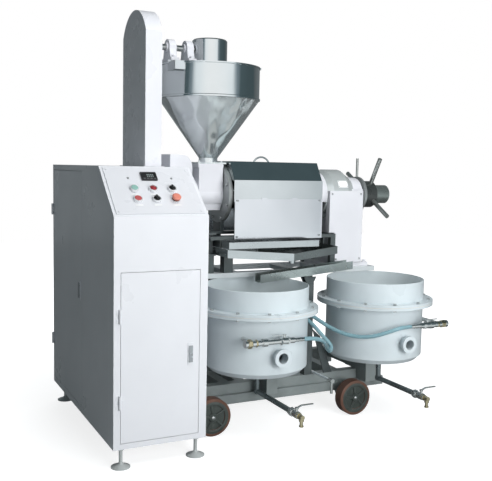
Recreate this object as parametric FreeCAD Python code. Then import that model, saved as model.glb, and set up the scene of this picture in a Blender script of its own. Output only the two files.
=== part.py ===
import FreeCAD, Part
import math
import os

V = FreeCAD.Vector

# Screw oil press with a drive cabinet, a hopper feeder and two vacuum oil filters, in millimetres.
# X runs along the press from the cabinet to the adjusting nut, Y runs to the back and Z up.
# Machine coordinates start at the cabinet's front left corner on the floor. The last lines move
# every piece to the frame's origin, on the floor under the middle of the machine.

# Clearances
FIT = 0.05
SEAT = 0.3
GAP = 0.5

# Cabinet
cabinet_width = 427.0
cabinet_depth = 1156.0
cabinet_base = 85.0
cabinet_sheet = 3.0
panel_run = 239.0
panel_rise = 209.0
foot_pad_radius = 42.0
foot_pad_height = 16.0
foot_stem_radius = 8.0
foot_inset = 40.0
foot_front_inset = 24.0
foot_back_inset = 105.0

# Doors
door_gap = 2.0
door_depth = 20.0
door_sheet = 2.5
front_door_left = 30.0
front_door_width = 361.0
front_door_bottom = 110.0
front_door_height = 738.0
side_door_front = 526.0
side_door_margin = 12.0
side_door_bottom = 117.0
side_door_height = 1146.0
hinge_radius = 6.0
hinge_pin_radius = 2.5
hinge_length = 60.0
hinge_inset = 186.0
side_hinge_inset = 215.0
lock_width = 26.0
lock_height = 98.0
lock_edge = 30.0
lock_plate = 3.0
lock_paddle = 4.0

# Control panel
panel_plate = 4.0
panel_margin = 14.0
button_radius = 11.0
bezel_radius = 15.0
bezel_height = 5.0
button_travel = 4.0
stop_radius = 20.0
stop_stem_radius = 8.0
stop_travel = 5.0
button_columns = (125.0, 210.0, 298.0)
upper_row = 163.0
lower_row = 98.0
controller_row = 243.0
controller_width = 72.0
controller_height = 48.0

# Press line
press_y = 607.0
press_z = 1155.0
cabinet_top = press_z + 135.0
worm_shaft_radius = 35.0
worm_radius = 64.5
cage_bore_radius = 66.0
cage_bar_depth = 14.0
cage_bar_count = 24
cage_ring_radius = 120.0
cage_ring_width = 20.0
cage_ring_count = 5
disc_x = 737.0
disc_width = 22.0
disc_radius = 150.0
cage_length = 526.0
cage_left = disc_x + disc_width
cage_right = cage_left + cage_length
worm_pitches = (110.0, 100.0, 90.0, 80.0, 70.0, 60.0)
worm_collar = 28.0
worm_start = 606.0
worm_root_start = 42.0
worm_root_end = 57.0
flight_thickness = 12.0

# Gearbox
gearbox_left = cabinet_width
gearbox_right = gearbox_left + 118.0
gearbox_depth = 240.0
gearbox_top = press_z + 198.0
gearbox_round = 60.0
input_drop = 95.0
input_shaft_radius = 20.0

# Feed throat and hopper
throat_left = 600.0
throat_width = 134.0
throat_depth = 154.0
throat_bore_radius = 46.0
throat_flange_left = 596.0
hopper_flange_right = 752.0
throat_flange_top = press_z + 155.0
throat_flange_thick = 20.0
neck_flange_radius = 110.0
throat_barrel_radius = 78.0
hopper_x = 682.0
hopper_radius = 260.0
hopper_cone_top = throat_flange_top + 330.0
hopper_top = hopper_cone_top + 160.0
hopper_rim = 3.0
hopper_sheet = 2.5
spout_top = throat_flange_top + 30.0
hopper_flange_thick = 8.0

# Feeder drive on the hopper
feeder_z = hopper_top + 85.0
feeder_shaft_radius = 15.0
auger_shaft_radius = 15.0
auger_radius = 42.0
auger_pitch = 60.0
auger_bottom = press_z + 81.0
auger_flight_top = throat_flange_top + 190.0
gear_teeth = 30
pinion_teeth = 15
gear_pitch_radius = 72.0
gear_face = 22.0
gear_cover_radius = 90.0
gear_cover_top = feeder_z + 55.0
bridge_width = 140.0
bridge_thick = 11.0
bridge_left = 430.0
pillow_positions = (466.0, 560.0)
pillow_length = 150.0
pillow_width = 44.0
pillow_radius = 40.0

# Belt guard and belts
guard_left = 278.0
guard_width = 82.0
guard_depth = 355.0
guard_shoulder = feeder_z + 45.0
guard_top = guard_shoulder + 116.0
guard_sheet = 2.5
belt_width = 13.0
belt_depth = 9.0
groove_pitch = 17.0
feeder_pulley_radius = 60.0
large_pulley_radius = 125.0
motor_pulley_radius = 50.0
drive_pulley_x = 60.0
drive_groove_count = 4
feeder_groove_count = 2
motor_z = 245.0
motor_radius = 108.0
motor_left = 146.0
motor_length = 240.0
motor_shaft_radius = 19.0

# Covers round the cage
cover_sheet = 2.0
cover_front_y = 442.0
hood_base = press_z + 76.0
hood_top = hood_base + 95.0
cover_split = hood_base - 98.0
hood_slope = 56.0
hood_front_y = 450.0
hood_lift_angle = 20.0
handle_span = 90.0
handle_rise = 26.0
handle_radius = 4.5

# Discharge end
outlet_ring_width = 40.0
outlet_ring_radius = 125.0
pedestal_left = cage_right + 92.0
pedestal_width = 211.0
pedestal_depth = 214.0
pedestal_shoulder = press_z + 32.0
housing_radius = 138.0
boss_radius = 92.0
housing_left = pedestal_left - 32.0
housing_right = pedestal_left + 97.0
housing_cone_end = housing_right + 58.0
boss_end = housing_cone_end + 66.0
sleeve_radius = 53.0
sleeve_end = boss_end + 220.0
sleeve_pitch = 6.0
cone_tip_x = cage_right + 13.0
cone_tip_radius = 45.0
cone_radius = 60.0
lock_ring_x = boss_end + 8.0
lock_ring_width = 26.0
lock_ring_radius = 100.0
lock_rod_radius = 7.0
lock_rod_reach = 205.0
nut_hub_radius = 76.0
nut_hub_length = 84.0
nut_bar_radius = 12.0
nut_bar_reach = 235.0
nut_bar_x = lock_ring_x + 86.0
nut_bar_angles = (-30.0, 60.0, 150.0, 240.0)

# Frames
table_top = 755.0
table_rail = 50.0
table_rail_height = 25.0
table_front = 450.0
table_right = 1650.0
post_size = 50.0
post_inset = 20.0
pan_post_left = 712.0
middle_leg_x = 760.0
middle_leg_y = 560.0
channel_top = press_z - 195.0
channel_height = 116.0
channel_flange = 50.0
channel_wall = 8.0
channel_right = 672.0
cover_rail_front = 446.0
cover_rail_z = press_z - 230.0
cover_rail_height = 18.0
cover_rail_right = 1380.0
cover_post_depth = 26.0
cover_end_x = 1370.0
base_rail_front = 320.0
base_bottom = 108.0
base_lower = 47.0
base_upper = 50.0
base_setback = 22.0
base_right = 1640.0
base_wall = 5.0

# Oil pan, residue tray and trough
pan_left = 680.0
pan_right = 1325.0
pan_low_x = 1060.0
pan_front = 340.0
pan_depth = 410.0
pan_wall = 3.0
pan_height = 40.0
pan_left_rim = 886.0
pan_low_rim = 856.0
pan_right_rim = 888.0
tray_left = 692.0
tray_length = 523.0
tray_front = 350.0
tray_depth = 380.0
tray_bottom = 889.0
tray_height = 33.0
tray_travel = 260.0
trough_left = 862.0
trough_right = 1420.0
trough_y = 362.0
trough_width = 65.0
trough_height = 42.0
trough_wall = 3.0
trough_low_z = 714.0
trough_tilt = 5.1
trough_pivot_x = 1162.0
trough_pivot_z = 722.0
trough_post_width = 45.0
fork_half = 38.0

# Filter drums
drum_centre_y = 250.0
drum_radius = 255.0
drum_wall = 4.0
drum_bottom = 310.0
drum_chamfer = 24.0
drum_flange_radius = 305.0
drum_flange_thick = 11.0
drum_flange_z = 598.0
filter_plate_thick = 4.0
ring_top = 725.0
ring_radius = 257.0
drum_bolt_count = 12
port_z = 420.0
port_bore_radius = 25.0
port_neck_radius = 32.0
port_flange_radius = 43.0
port_flange_thick = 12.0
port_reach = 42.0
port_neck_inside = 14.0
leg_width = 62.0
leg_front = 252.0
leg_depth = 92.0
drain_pipe_radius = 13.0
drain_z = 165.0
drain_end_y = -68.0
drain_reach = 86.0
spout_radius = 8.0
spout_boss = 14.0
spout_length = 32.0
drums = {
    "left": {"x": 800.0, "leg": 100.0, "port": -7.0, "drain": 40.0, "drop_y": 300.0, "tee_x": 635.0,
             "towards": 1, "reach": 262.0, "fitting_z": 505.0},
    "right": {"x": 1510.0, "leg": -5.0, "port": 13.0, "drain": 55.0, "drop_y": 262.0, "tee_x": 1704.0,
              "towards": -1, "reach": 182.0, "fitting_z": 515.0},
}
fitting_y = -50.0
fitting_radius = 13.0
lever_length = 62.0
valve_body_radius = 17.0

# Vacuum receiver and hoses
receiver_x = 1106.0
receiver_y = 440.0
receiver_radius = 45.0
receiver_bottom = 330.0
receiver_top = 588.0
hose_radius = 10.0
hose_barb_y = 380.0
hose_barbs = ((1090.0, 540.0), (1122.0, 556.0))
small_drain_x = 1194.0
small_drain_y = 180.0

# Wheels
wheel_radius = 92.5
wheel_width = 60.0
wheel_front = 200.0
axle_radius = 10.0
wheel_positions = (555.0, 1377.0)

# Places that follow from the sizes above
side_door_width = cabinet_depth - side_door_front - side_door_margin
bridge_bottom = hopper_top + hopper_rim
cover_bottom = cover_rail_z + cover_rail_height + SEAT
bridge_top = bridge_bottom + bridge_thick
input_z = press_z - input_drop
guard_y0 = press_y - guard_depth / 2
guard_y1 = press_y + guard_depth / 2
guard_middle_x = guard_left + guard_width / 2
table_back = 2 * press_y - table_front
base_front_upper = base_rail_front + base_setback
base_top = base_bottom + base_lower + base_upper
base_back = 2 * press_y - base_rail_front
wheel_back = 2 * press_y - wheel_front
panel_slope = math.hypot(panel_run, panel_rise)
middle_x = (sleeve_end - 2 * hinge_radius) / 2
middle_y = (cabinet_depth + drain_end_y - drain_reach) / 2


def box(x0, x1, y0, y1, z0, z1):
    return Part.makeBox(x1 - x0, y1 - y0, z1 - z0, V(x0, y0, z0))


def rod(start, end, radius):
    start = V(*start)
    along = V(*end) - start
    return Part.makeCylinder(radius, along.Length, start, along)


def pipe(start, end, outer, inner):
    return rod(start, end, outer).cut(rod(start, end, inner))


def fuse(pieces):
    pieces = list(pieces)
    if len(pieces) == 1:
        return pieces[0]
    return pieces[0].multiFuse(pieces[1:]).removeSplitter()


def cut(body, tools):
    for tool in tools:
        body = body.cut(tool)
    return body


def group(pieces):
    return Part.makeCompound(list(pieces))


def plate(points, along):
    return Part.Face(Part.makePolygon([V(*p) for p in points + points[:1]])).extrude(V(*along))


def turned(profile, centre, axis, side):
    """Solid of revolution: profile points are (distance along the axis, radius)."""
    centre, axis, side = V(*centre), V(*axis), V(*side)
    points = [centre + axis * along + side * radius for along, radius in profile]
    face = Part.Face(Part.makePolygon(points + points[:1]))
    return face.revolve(centre, axis, 360)


def turned_x(profile, y=press_y, z=press_z):
    return turned(profile, (0, y, z), (1, 0, 0), (0, 0, 1))


def turned_z(profile, x, y):
    return turned(profile, (x, y, 0), (0, 0, 1), (1, 0, 0))


def angle_bar_x(x0, x1, y, z, leg, wall, inward, down):
    """Equal angle along X whose corner is at y, z."""
    y0, y1 = sorted((y, y + inward * leg))
    w0, w1 = sorted((y, y + inward * wall))
    z0, z1 = sorted((z, z + down * leg))
    f0, f1 = sorted((z, z + down * wall))
    return fuse([box(x0, x1, w0, w1, z0, z1), box(x0, x1, y0, y1, f0, f1)])


def square_tube(corner, size, wall, along, length):
    """Hollow square tube of one size, from its lowest corner, along 'x', 'y' or 'z'."""
    spans = {"x": (length, size, size), "y": (size, length, size), "z": (size, size, length)}[along]
    outer = Part.makeBox(*spans, V(*corner))
    hollow = [span - 2 * wall for span in spans]
    shift = [wall, wall, wall]
    axis = "xyz".index(along)
    hollow[axis] = length
    shift[axis] = 0
    return outer.cut(Part.makeBox(*hollow, V(*corner) + V(*shift)))


def flight(pitch, root, outer, thickness, start_x):
    """One turn of a screw flight round the X axis of the press."""
    helix = Part.makeHelix(pitch, pitch * 0.96, root - 1.0)
    half = thickness / 2
    tip = thickness / 3
    section = Part.makePolygon([V(root - 1.0, 0, -half), V(outer, 0, -tip), V(outer, 0, tip),
                                V(root - 1.0, 0, half), V(root - 1.0, 0, -half)])
    blade = Part.Wire(helix.Edges).makePipeShell([section], True, True)
    blade.rotate(V(0, 0, 0), V(0, 1, 0), 90)
    blade.translate(V(start_x, press_y, press_z))
    return blade


# Cabinet and doors
def cabinet_profile(inset):
    """Side outline of the cabinet, moved inwards by an even distance."""
    lean = math.atan2(panel_rise, panel_run)
    corner = inset * math.tan(lean / 2)
    upper = inset * math.tan((math.pi / 2 - lean) / 2)
    front = cabinet_top - panel_rise
    return [(inset, cabinet_base + inset), (cabinet_depth - inset, cabinet_base + inset),
            (cabinet_depth - inset, cabinet_top - inset), (panel_run + corner, cabinet_top - inset),
            (inset, front - upper)]


def cabinet_block(x0, x1, inset):
    points = [(x0, y, z) for y, z in cabinet_profile(inset)]
    return plate(points, (x1 - x0, 0, 0))


def door_frame_x():
    """Stop behind the front door."""
    outer = (front_door_left - 12, front_door_left + front_door_width + 12, front_door_bottom - 12,
             front_door_bottom + front_door_height + 12)
    inner = (outer[0] + 26, outer[1] - 26, outer[2] + 26, outer[3] - 26)
    y0 = door_depth + door_gap
    ring = box(outer[0], outer[1], y0, y0 + cabinet_sheet, outer[2], outer[3])
    ring = ring.cut(box(inner[0], inner[1], y0, y0 + cabinet_sheet, inner[2], inner[3]))
    sleeve = box(outer[0], outer[1], cabinet_sheet, y0, outer[2], outer[3])
    sleeve = sleeve.cut(box(outer[0] + 3, outer[1] - 3, cabinet_sheet, y0, outer[2] + 3, outer[3] - 3))
    return ring.fuse(sleeve)


def door_frame_y():
    """Stop behind the side door."""
    y0, y1 = side_door_front - 8, side_door_front + side_door_width + 6
    z0, z1 = side_door_bottom - 8, side_door_bottom + side_door_height + 8
    x0 = door_depth + door_gap
    ring = box(x0, x0 + cabinet_sheet, y0, y1, z0, z1)
    ring = ring.cut(box(x0, x0 + cabinet_sheet, y0 + 24, y1 - 24, z0 + 24, z1 - 24))
    sleeve = box(cabinet_sheet, x0, y0, y1, z0, z1)
    sleeve = sleeve.cut(box(cabinet_sheet, x0, y0 + 3, y1 - 3, z0 + 3, z1 - 3))
    return ring.fuse(sleeve)


def cabinet_shell():
    shell = cabinet_block(0, cabinet_width, 0)
    shell = shell.cut(cabinet_block(cabinet_sheet, cabinet_width - cabinet_sheet, cabinet_sheet))
    front_door = box(front_door_left, front_door_left + front_door_width, -1, cabinet_sheet,
                     front_door_bottom, front_door_bottom + front_door_height)
    side_door = box(-1, cabinet_sheet, side_door_front, side_door_front + side_door_width,
                    side_door_bottom, side_door_bottom + side_door_height)
    belt_slot = box(guard_left + 6, guard_left + guard_width - 6, press_y - feeder_pulley_radius - 18,
                    press_y + feeder_pulley_radius + 18, cabinet_top - 10, cabinet_top + 1)
    shaft_hole = rod((cabinet_width - 10, press_y, input_z), (cabinet_width + 1, press_y, input_z),
                     input_shaft_radius + 12)
    shell = cut(shell, [front_door, side_door, belt_slot, shaft_hole])
    shell = fuse([shell, door_frame_x(), door_frame_y()])
    return cut(shell, [panel_hole(x, row, radius) for x, row, radius in panel_holes()])


def knuckle(centre, z0, z1):
    x, y = centre
    return pipe((x, y, z0), (x, y, z1), hinge_radius, hinge_pin_radius + FIT)


front_hinge = (front_door_left - 3.0, -hinge_radius)
side_hinge = (-hinge_radius, side_door_front + side_door_width + 2.0)
front_hinge_heights = (front_door_bottom + hinge_inset - 4,
                       front_door_bottom + front_door_height - hinge_inset)
side_hinge_heights = (side_door_bottom + side_hinge_inset,
                      side_door_bottom + side_door_height - side_hinge_inset)


def cabinet_hinges():
    """Fixed knuckles and pins. The doors carry the middle knuckles."""
    pieces = []
    third = hinge_length / 3
    for (x, y), heights in ((front_hinge, front_hinge_heights), (side_hinge, side_hinge_heights)):
        for z in heights:
            hinge = [rod((x, y, z - hinge_length / 2), (x, y, z + hinge_length / 2), hinge_pin_radius)]
            for low in (z - hinge_length / 2, z + hinge_length / 2 - third):
                hinge.append(rod((x, y, low), (x, y, low + third), hinge_radius))
                if x > 0:
                    hinge.append(box(x - 16, x, -2, 0, low, low + third))
                else:
                    hinge.append(box(-2, 0, y, y + side_door_margin - 2, low, low + third))
            pieces.append(fuse(hinge))
    return group(pieces)


def door_pan(x0, x1, y0, y1, z0, z1, face):
    """Folded sheet door: an outer skin with returned edges, open to the inside."""
    body = box(x0, x1, y0, y1, z0, z1)
    s = door_sheet
    if face == "front":
        return body.cut(box(x0 + s, x1 - s, y0 + s, y1, z0 + s, z1 - s))
    return body.cut(box(x0 + s, x1, y0 + s, y1 - s, z0 + s, z1 - s))


def lock_frames():
    """Lock plates as (x, y, z) of the middle, with the outward direction."""
    front = (front_door_left + front_door_width - lock_edge - lock_width / 2, 0.0,
             front_door_bottom + front_door_height / 2 - 4)
    side = (0.0, side_door_front + lock_edge + lock_width / 2,
            side_door_bottom + side_door_height / 2 - 2)
    return front, side


def lock_box(centre, outward, width, height, near, far):
    """Box on a door's outer face, from near to far outwards."""
    x, y, z = centre
    if outward == "front":
        return box(x - width / 2, x + width / 2, y - far, y - near, z - height / 2, z + height / 2)
    return box(x - far, x - near, y - width / 2, y + width / 2, z - height / 2, z + height / 2)


def front_door():
    x0, x1 = front_door_left + door_gap, front_door_left + front_door_width - door_gap
    z0, z1 = front_door_bottom + door_gap, front_door_bottom + front_door_height - door_gap
    pan = door_pan(x0, x1, 0, door_depth, z0, z1, "front")
    x, y = front_hinge
    third = hinge_length / 3
    for z in front_hinge_heights:
        barrel = knuckle((x, y), z - third / 2 + GAP, z + third / 2 - GAP)
        leaf = box(x + hinge_radius - 1, x0 + 14, -2, 0, z - third / 2 + GAP, z + third / 2 - GAP)
        web = box(x + hinge_pin_radius + 1, x + hinge_radius, y, 0, z - third / 2 + GAP,
                  z + third / 2 - GAP)
        pan = fuse([pan, barrel, leaf, web])
    centre = lock_frames()[0]
    return group([pan, lock_box(centre, "front", lock_width, lock_height, 0, lock_plate)])


def side_door():
    y0, y1 = side_door_front + door_gap, side_door_front + side_door_width - door_gap
    z0, z1 = side_door_bottom + door_gap, side_door_bottom + side_door_height - door_gap
    pan = door_pan(0, door_depth, y0, y1, z0, z1, "side")
    x, y = side_hinge
    third = hinge_length / 3
    for z in side_hinge_heights:
        barrel = knuckle((x, y), z - third / 2 + GAP, z + third / 2 - GAP)
        leaf = box(-2, 0, y1 - 16, y - hinge_radius + 1, z - third / 2 + GAP, z + third / 2 - GAP)
        web = box(x, 0, y - hinge_radius, y - hinge_pin_radius - 1, z - third / 2 + GAP,
                  z + third / 2 - GAP)
        pan = fuse([pan, barrel, leaf, web])
    centre = lock_frames()[1]
    return group([pan, lock_box(centre, "side", lock_width, lock_height, 0, lock_plate)])


def door_lock(which):
    """Lift handle of a door lock, hinged at its lower end."""
    centre = lock_frames()[0 if which == "front" else 1]
    near = lock_plate + GAP
    handle = lock_box(centre, which, lock_width - 8, lock_height - 24, near, near + lock_paddle)
    return handle


def levelling_feet():
    pieces = []
    for x in (foot_inset, cabinet_width - foot_inset):
        for y in (foot_front_inset, cabinet_depth - foot_back_inset):
            pieces.append(turned_z([(0, 0), (0, foot_pad_radius), (4, foot_pad_radius),
                                    (foot_pad_height, foot_stem_radius + 5),
                                    (foot_pad_height + 6, foot_stem_radius),
                                    (cabinet_base - 8, foot_stem_radius),
                                    (cabinet_base - 8, foot_stem_radius + 7),
                                    (cabinet_base, foot_stem_radius + 7), (cabinet_base, 0)], x, y))
    return group(pieces)


# Control panel, measured along its slope from the lower edge
panel_lean = math.degrees(math.atan2(panel_rise, panel_run))


def on_panel(shape, x, row):
    """Place a shape made about the origin, +Z outwards, on the slanted panel."""
    shape.rotate(V(0, 0, 0), V(1, 0, 0), panel_lean)
    along = math.radians(panel_lean)
    shape.translate(V(x, row * math.cos(along), cabinet_top - panel_rise + row * math.sin(along)))
    return shape


def panel_holes():
    holes = [(x, row, button_radius - 3) for x in button_columns for row in (upper_row, lower_row)]
    return holes


def panel_hole(x, row, radius):
    return on_panel(Part.makeCylinder(radius, 40, V(0, 0, -20)), x, row)


def control_panel():
    width = cabinet_width - 2 * panel_margin
    height = panel_slope - 2 * panel_margin
    sheet = Part.makeBox(width, height, panel_plate, V(-width / 2, -height / 2, 0))
    sheet = on_panel(sheet, cabinet_width / 2, panel_slope / 2)
    sheet = cut(sheet, [panel_hole(x, row, button_radius + GAP) for x, row, radius in panel_holes()])
    screws = []
    for x in (panel_margin + 14, cabinet_width - panel_margin - 14):
        for row in (panel_margin + 14, panel_slope - panel_margin - 14):
            screws.append(on_panel(Part.makeCylinder(5, 2.5, V(0, 0, panel_plate)), x, row))
    return group([sheet] + screws)


def temperature_controller():
    case = Part.makeBox(controller_width, controller_height, 9,
                        V(-controller_width / 2, -controller_height / 2, panel_plate))
    window = Part.makeBox(controller_width - 16, controller_height - 18, 3,
                          V(-controller_width / 2 + 8, -controller_height / 2 + 12, panel_plate + 7))
    return on_panel(case.cut(window), button_columns[1], controller_row)


def panel_bezels():
    """Threaded collars of the six operators, and the lens of the pilot lamp."""
    pieces = []
    for x in button_columns:
        for row in (upper_row, lower_row):
            stop = x == button_columns[2] and row == lower_row
            bore = stop_stem_radius + 1 if stop else button_radius + GAP
            collar = Part.makeCylinder(bezel_radius, bezel_height, V(0, 0, panel_plate))
            collar = collar.cut(Part.makeCylinder(bore, bezel_height, V(0, 0, panel_plate)))
            pieces.append(on_panel(collar, x, row))
    lens = Part.makeCylinder(button_radius, bezel_height + 3, V(0, 0, panel_plate))
    pieces.append(on_panel(lens, button_columns[1], upper_row))
    return group(pieces)


def push_button(x, row):
    low = panel_plate + 0.5
    cap = Part.makeCylinder(button_radius, bezel_height + button_travel + 0.5, V(0, 0, low))
    stem = Part.makeCylinder(button_radius - 4, 20, V(0, 0, low - 20))
    return on_panel(cap.fuse(stem), x, row)


def selector(x, row):
    low = panel_plate + 0.5
    turret = Part.makeCylinder(button_radius, bezel_height + 3, V(0, 0, low))
    lever = Part.makeBox(6, 2 * button_radius + 4, 10,
                         V(-3, -button_radius - 2, low + bezel_height + 3))
    stem = Part.makeCylinder(button_radius - 4, 20, V(0, 0, low - 20))
    return on_panel(fuse([turret, lever, stem]), x, row)


def emergency_stop():
    low = panel_plate + bezel_height + stop_travel + GAP
    head = turned([(low, 0), (low, stop_radius - 4), (low + 4, stop_radius), (low + 11, stop_radius),
                   (low + 15, stop_radius - 5), (low + 16, 0)], (0, 0, 0), (0, 0, 1), (1, 0, 0))
    stem = Part.makeCylinder(stop_stem_radius, low + 16, V(0, 0, -16))
    stem = stem.common(Part.makeCylinder(button_radius - 3.5, low + 16, V(0, 0, -16)))
    return on_panel(head.fuse(stem), button_columns[2], lower_row)


def electrical_plate():
    """Mounting plate behind the front door with breakers, contactors and terminals."""
    y = 190.0
    z0, z1 = 360.0, 900.0
    back = box(cabinet_sheet, cabinet_width - cabinet_sheet, y, y + 3, z0, z1)
    pieces = [back]
    for row, (count, width, height,
              depth) in enumerate(((3, 54, 90, 70), (4, 45, 80, 80), (9, 22, 40, 45))):
        z = z1 - 60 - 160 * row - height
        start = (cabinet_width - count * (width + 8)) / 2
        for i in range(count):
            x = start + i * (width + 8)
            pieces.append(box(x, x + width, y - depth, y, z, z + height))
    return fuse(pieces)


# Drive
def pulley(x0, radius, grooves, bore, y, z):
    """V-belt pulley along X with one groove for each belt."""
    width = grooves * groove_pitch + 4
    rim = radius + belt_depth / 2 + 1
    floor = radius - belt_depth / 2 - 2
    profile = [(x0, bore), (x0, rim)]
    for i in range(grooves):
        middle = x0 + 2 + groove_pitch * (i + 0.5)
        top = belt_width / 2 + 1.4
        foot = belt_width / 2 + 0.5
        profile += [(middle - top, rim), (middle - foot, floor), (middle + foot, floor),
                    (middle + top, rim)]
    profile += [(x0 + width, rim), (x0 + width, bore)]
    return turned_x(profile, y, z)


def belt_loop(x, low, high):
    """Closed belt round two pulleys on one vertical line: low and high are (z, radius)."""
    (z0, r0), (z1, r1) = low, high
    loops = []
    for offset in (belt_depth / 2, -belt_depth / 2):
        a, b = r0 + offset, r1 + offset
        lean = math.asin((b - a) / (z1 - z0))
        low_points = [(press_y + s * a * math.cos(lean), z0 - a * math.sin(lean)) for s in (1, -1)]
        high_points = [(press_y + s * b * math.cos(lean), z1 - b * math.sin(lean)) for s in (1, -1)]
        (ry0, rz0), (ly0, lz0) = low_points
        (ry1, rz1), (ly1, lz1) = high_points
        edges = [Part.LineSegment(V(x, ry0, rz0), V(x, ry1, rz1)).toShape(),
                 Part.Arc(V(x, ry1, rz1), V(x, press_y, z1 + b), V(x, ly1, lz1)).toShape(),
                 Part.LineSegment(V(x, ly1, lz1), V(x, ly0, lz0)).toShape(),
                 Part.Arc(V(x, ly0, lz0), V(x, press_y, z0 - a), V(x, ry0, rz0)).toShape()]
        loops.append(Part.Face(Part.Wire(edges)).extrude(V(belt_width, 0, 0)))
    return loops[0].cut(loops[1])


feeder_pulley_x = guard_middle_x - (feeder_groove_count * groove_pitch + 4) / 2


def groove_starts(x0, grooves):
    return [x0 + 2 + groove_pitch * (i + 0.5) - belt_width / 2 for i in range(grooves)]


def v_belts():
    drive = [belt_loop(x, (motor_z, motor_pulley_radius), (input_z, large_pulley_radius))
             for x in groove_starts(drive_pulley_x, drive_groove_count)]
    feeder = [belt_loop(x, (input_z, feeder_pulley_radius), (feeder_z, feeder_pulley_radius))
              for x in groove_starts(feeder_pulley_x, feeder_groove_count)]
    return group(drive + feeder)


def motor():
    body = turned_x([(motor_left, motor_shaft_radius + 1), (motor_left, 60),
                     (motor_left + 14, motor_radius - 6), (motor_left + 30, motor_radius),
                     (motor_left + motor_length - 46, motor_radius),
                     (motor_left + motor_length - 46, motor_radius + 4),
                     (motor_left + motor_length, motor_radius + 4), (motor_left + motor_length, 0),
                     (motor_left + 60, 0), (motor_left + 60, motor_shaft_radius + 1)], press_y, motor_z)
    fins = []
    for i in range(16):
        fin = box(motor_left + 34, motor_left + motor_length - 46, press_y - 2, press_y + 2,
                  motor_z + motor_radius - 4, motor_z + motor_radius + 10)
        fin.rotate(V(0, press_y, motor_z), V(1, 0, 0), 22.5 * (i + 0.5))
        fins.append(fin)
    floor = cabinet_base + cabinet_sheet
    feet = [box(x, x + 44, press_y - 120, press_y + 120, floor, floor + 18)
            for x in (motor_left + 40, motor_left + motor_length - 90)]
    webs = [box(x + 8, x + 36, press_y - 70, press_y + 70, floor + 18, motor_z - 60)
            for x in (motor_left + 40, motor_left + motor_length - 90)]
    terminals = box(motor_left + 70, motor_left + 160, press_y - 50, press_y + 50, motor_z + 60,
                    motor_z + motor_radius + 46)
    return fuse([body] + fins + feet + webs + [terminals])


def motor_pulley():
    wheel = pulley(drive_pulley_x, motor_pulley_radius, drive_groove_count, motor_shaft_radius - 2,
                   press_y, motor_z)
    shaft = rod((drive_pulley_x - 8, press_y, motor_z), (motor_left + 58, press_y, motor_z),
                motor_shaft_radius)
    return fuse([wheel, shaft])


def input_pulleys():
    large = pulley(drive_pulley_x, large_pulley_radius, drive_groove_count, input_shaft_radius - 2,
                   press_y, input_z)
    width = drive_groove_count * groove_pitch + 4
    windows = [rod((drive_pulley_x - 1, press_y + 72 * math.cos(a), input_z + 72 * math.sin(a)),
                   (drive_pulley_x + width + 1, press_y + 72 * math.cos(a), input_z + 72 * math.sin(a)),
                   24) for a in (i * math.pi / 3 for i in range(6))]
    large = cut(large, windows)
    small = pulley(feeder_pulley_x, feeder_pulley_radius, feeder_groove_count, input_shaft_radius - 2,
                   press_y, input_z)
    shaft = rod((drive_pulley_x - 10, press_y, input_z), (gearbox_left + 70, press_y, input_z),
                input_shaft_radius)
    return fuse([large, small, shaft])


def gearbox():
    y0, y1 = press_y - gearbox_depth / 2, press_y + gearbox_depth / 2
    r = gearbox_round
    left = gearbox_left
    right = gearbox_right
    base = channel_top
    edges = [Part.LineSegment(V(left, y0, base), V(right, y0, base)).toShape(),
             Part.LineSegment(V(right, y0, base), V(right, y0, gearbox_top - r)).toShape(),
             Part.Arc(V(right, y0, gearbox_top - r),
                      V(right - r + r * math.cos(math.pi / 4), y0,
                        gearbox_top - r + r * math.sin(math.pi / 4)),
                      V(right - r, y0, gearbox_top)).toShape(),
             Part.LineSegment(V(right - r, y0, gearbox_top), V(left, y0, gearbox_top)).toShape(),
             Part.LineSegment(V(left, y0, gearbox_top), V(left, y0, base)).toShape()]
    case = Part.Face(Part.Wire(edges)).extrude(V(0, gearbox_depth, 0))
    belt = box(left, right, y0 - 12, y1 + 12, press_z + 45, press_z + 63)
    foot = box(left, right, y0 - 22, y1 + 22, base, base + 20)
    ribs = [box(x, x + 10, y0 - 10, y1 + 10, base + 20, press_z + 45) for x in (left + 30, right - 40)]
    cap = turned_x([(right - 10, 0), (right - 10, 92), (right + 8, 92), (right + 11, 84),
                    (right + 11, 0)])
    case = fuse([case, belt, foot, cap] + ribs)
    output = rod((left + 60, press_y, press_z), (right + 12, press_y, press_z), worm_shaft_radius + FIT)
    entry = rod((left - 1, press_y, input_z), (left + 74, press_y, input_z), input_shaft_radius + FIT)
    return cut(case, [output, entry])


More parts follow.
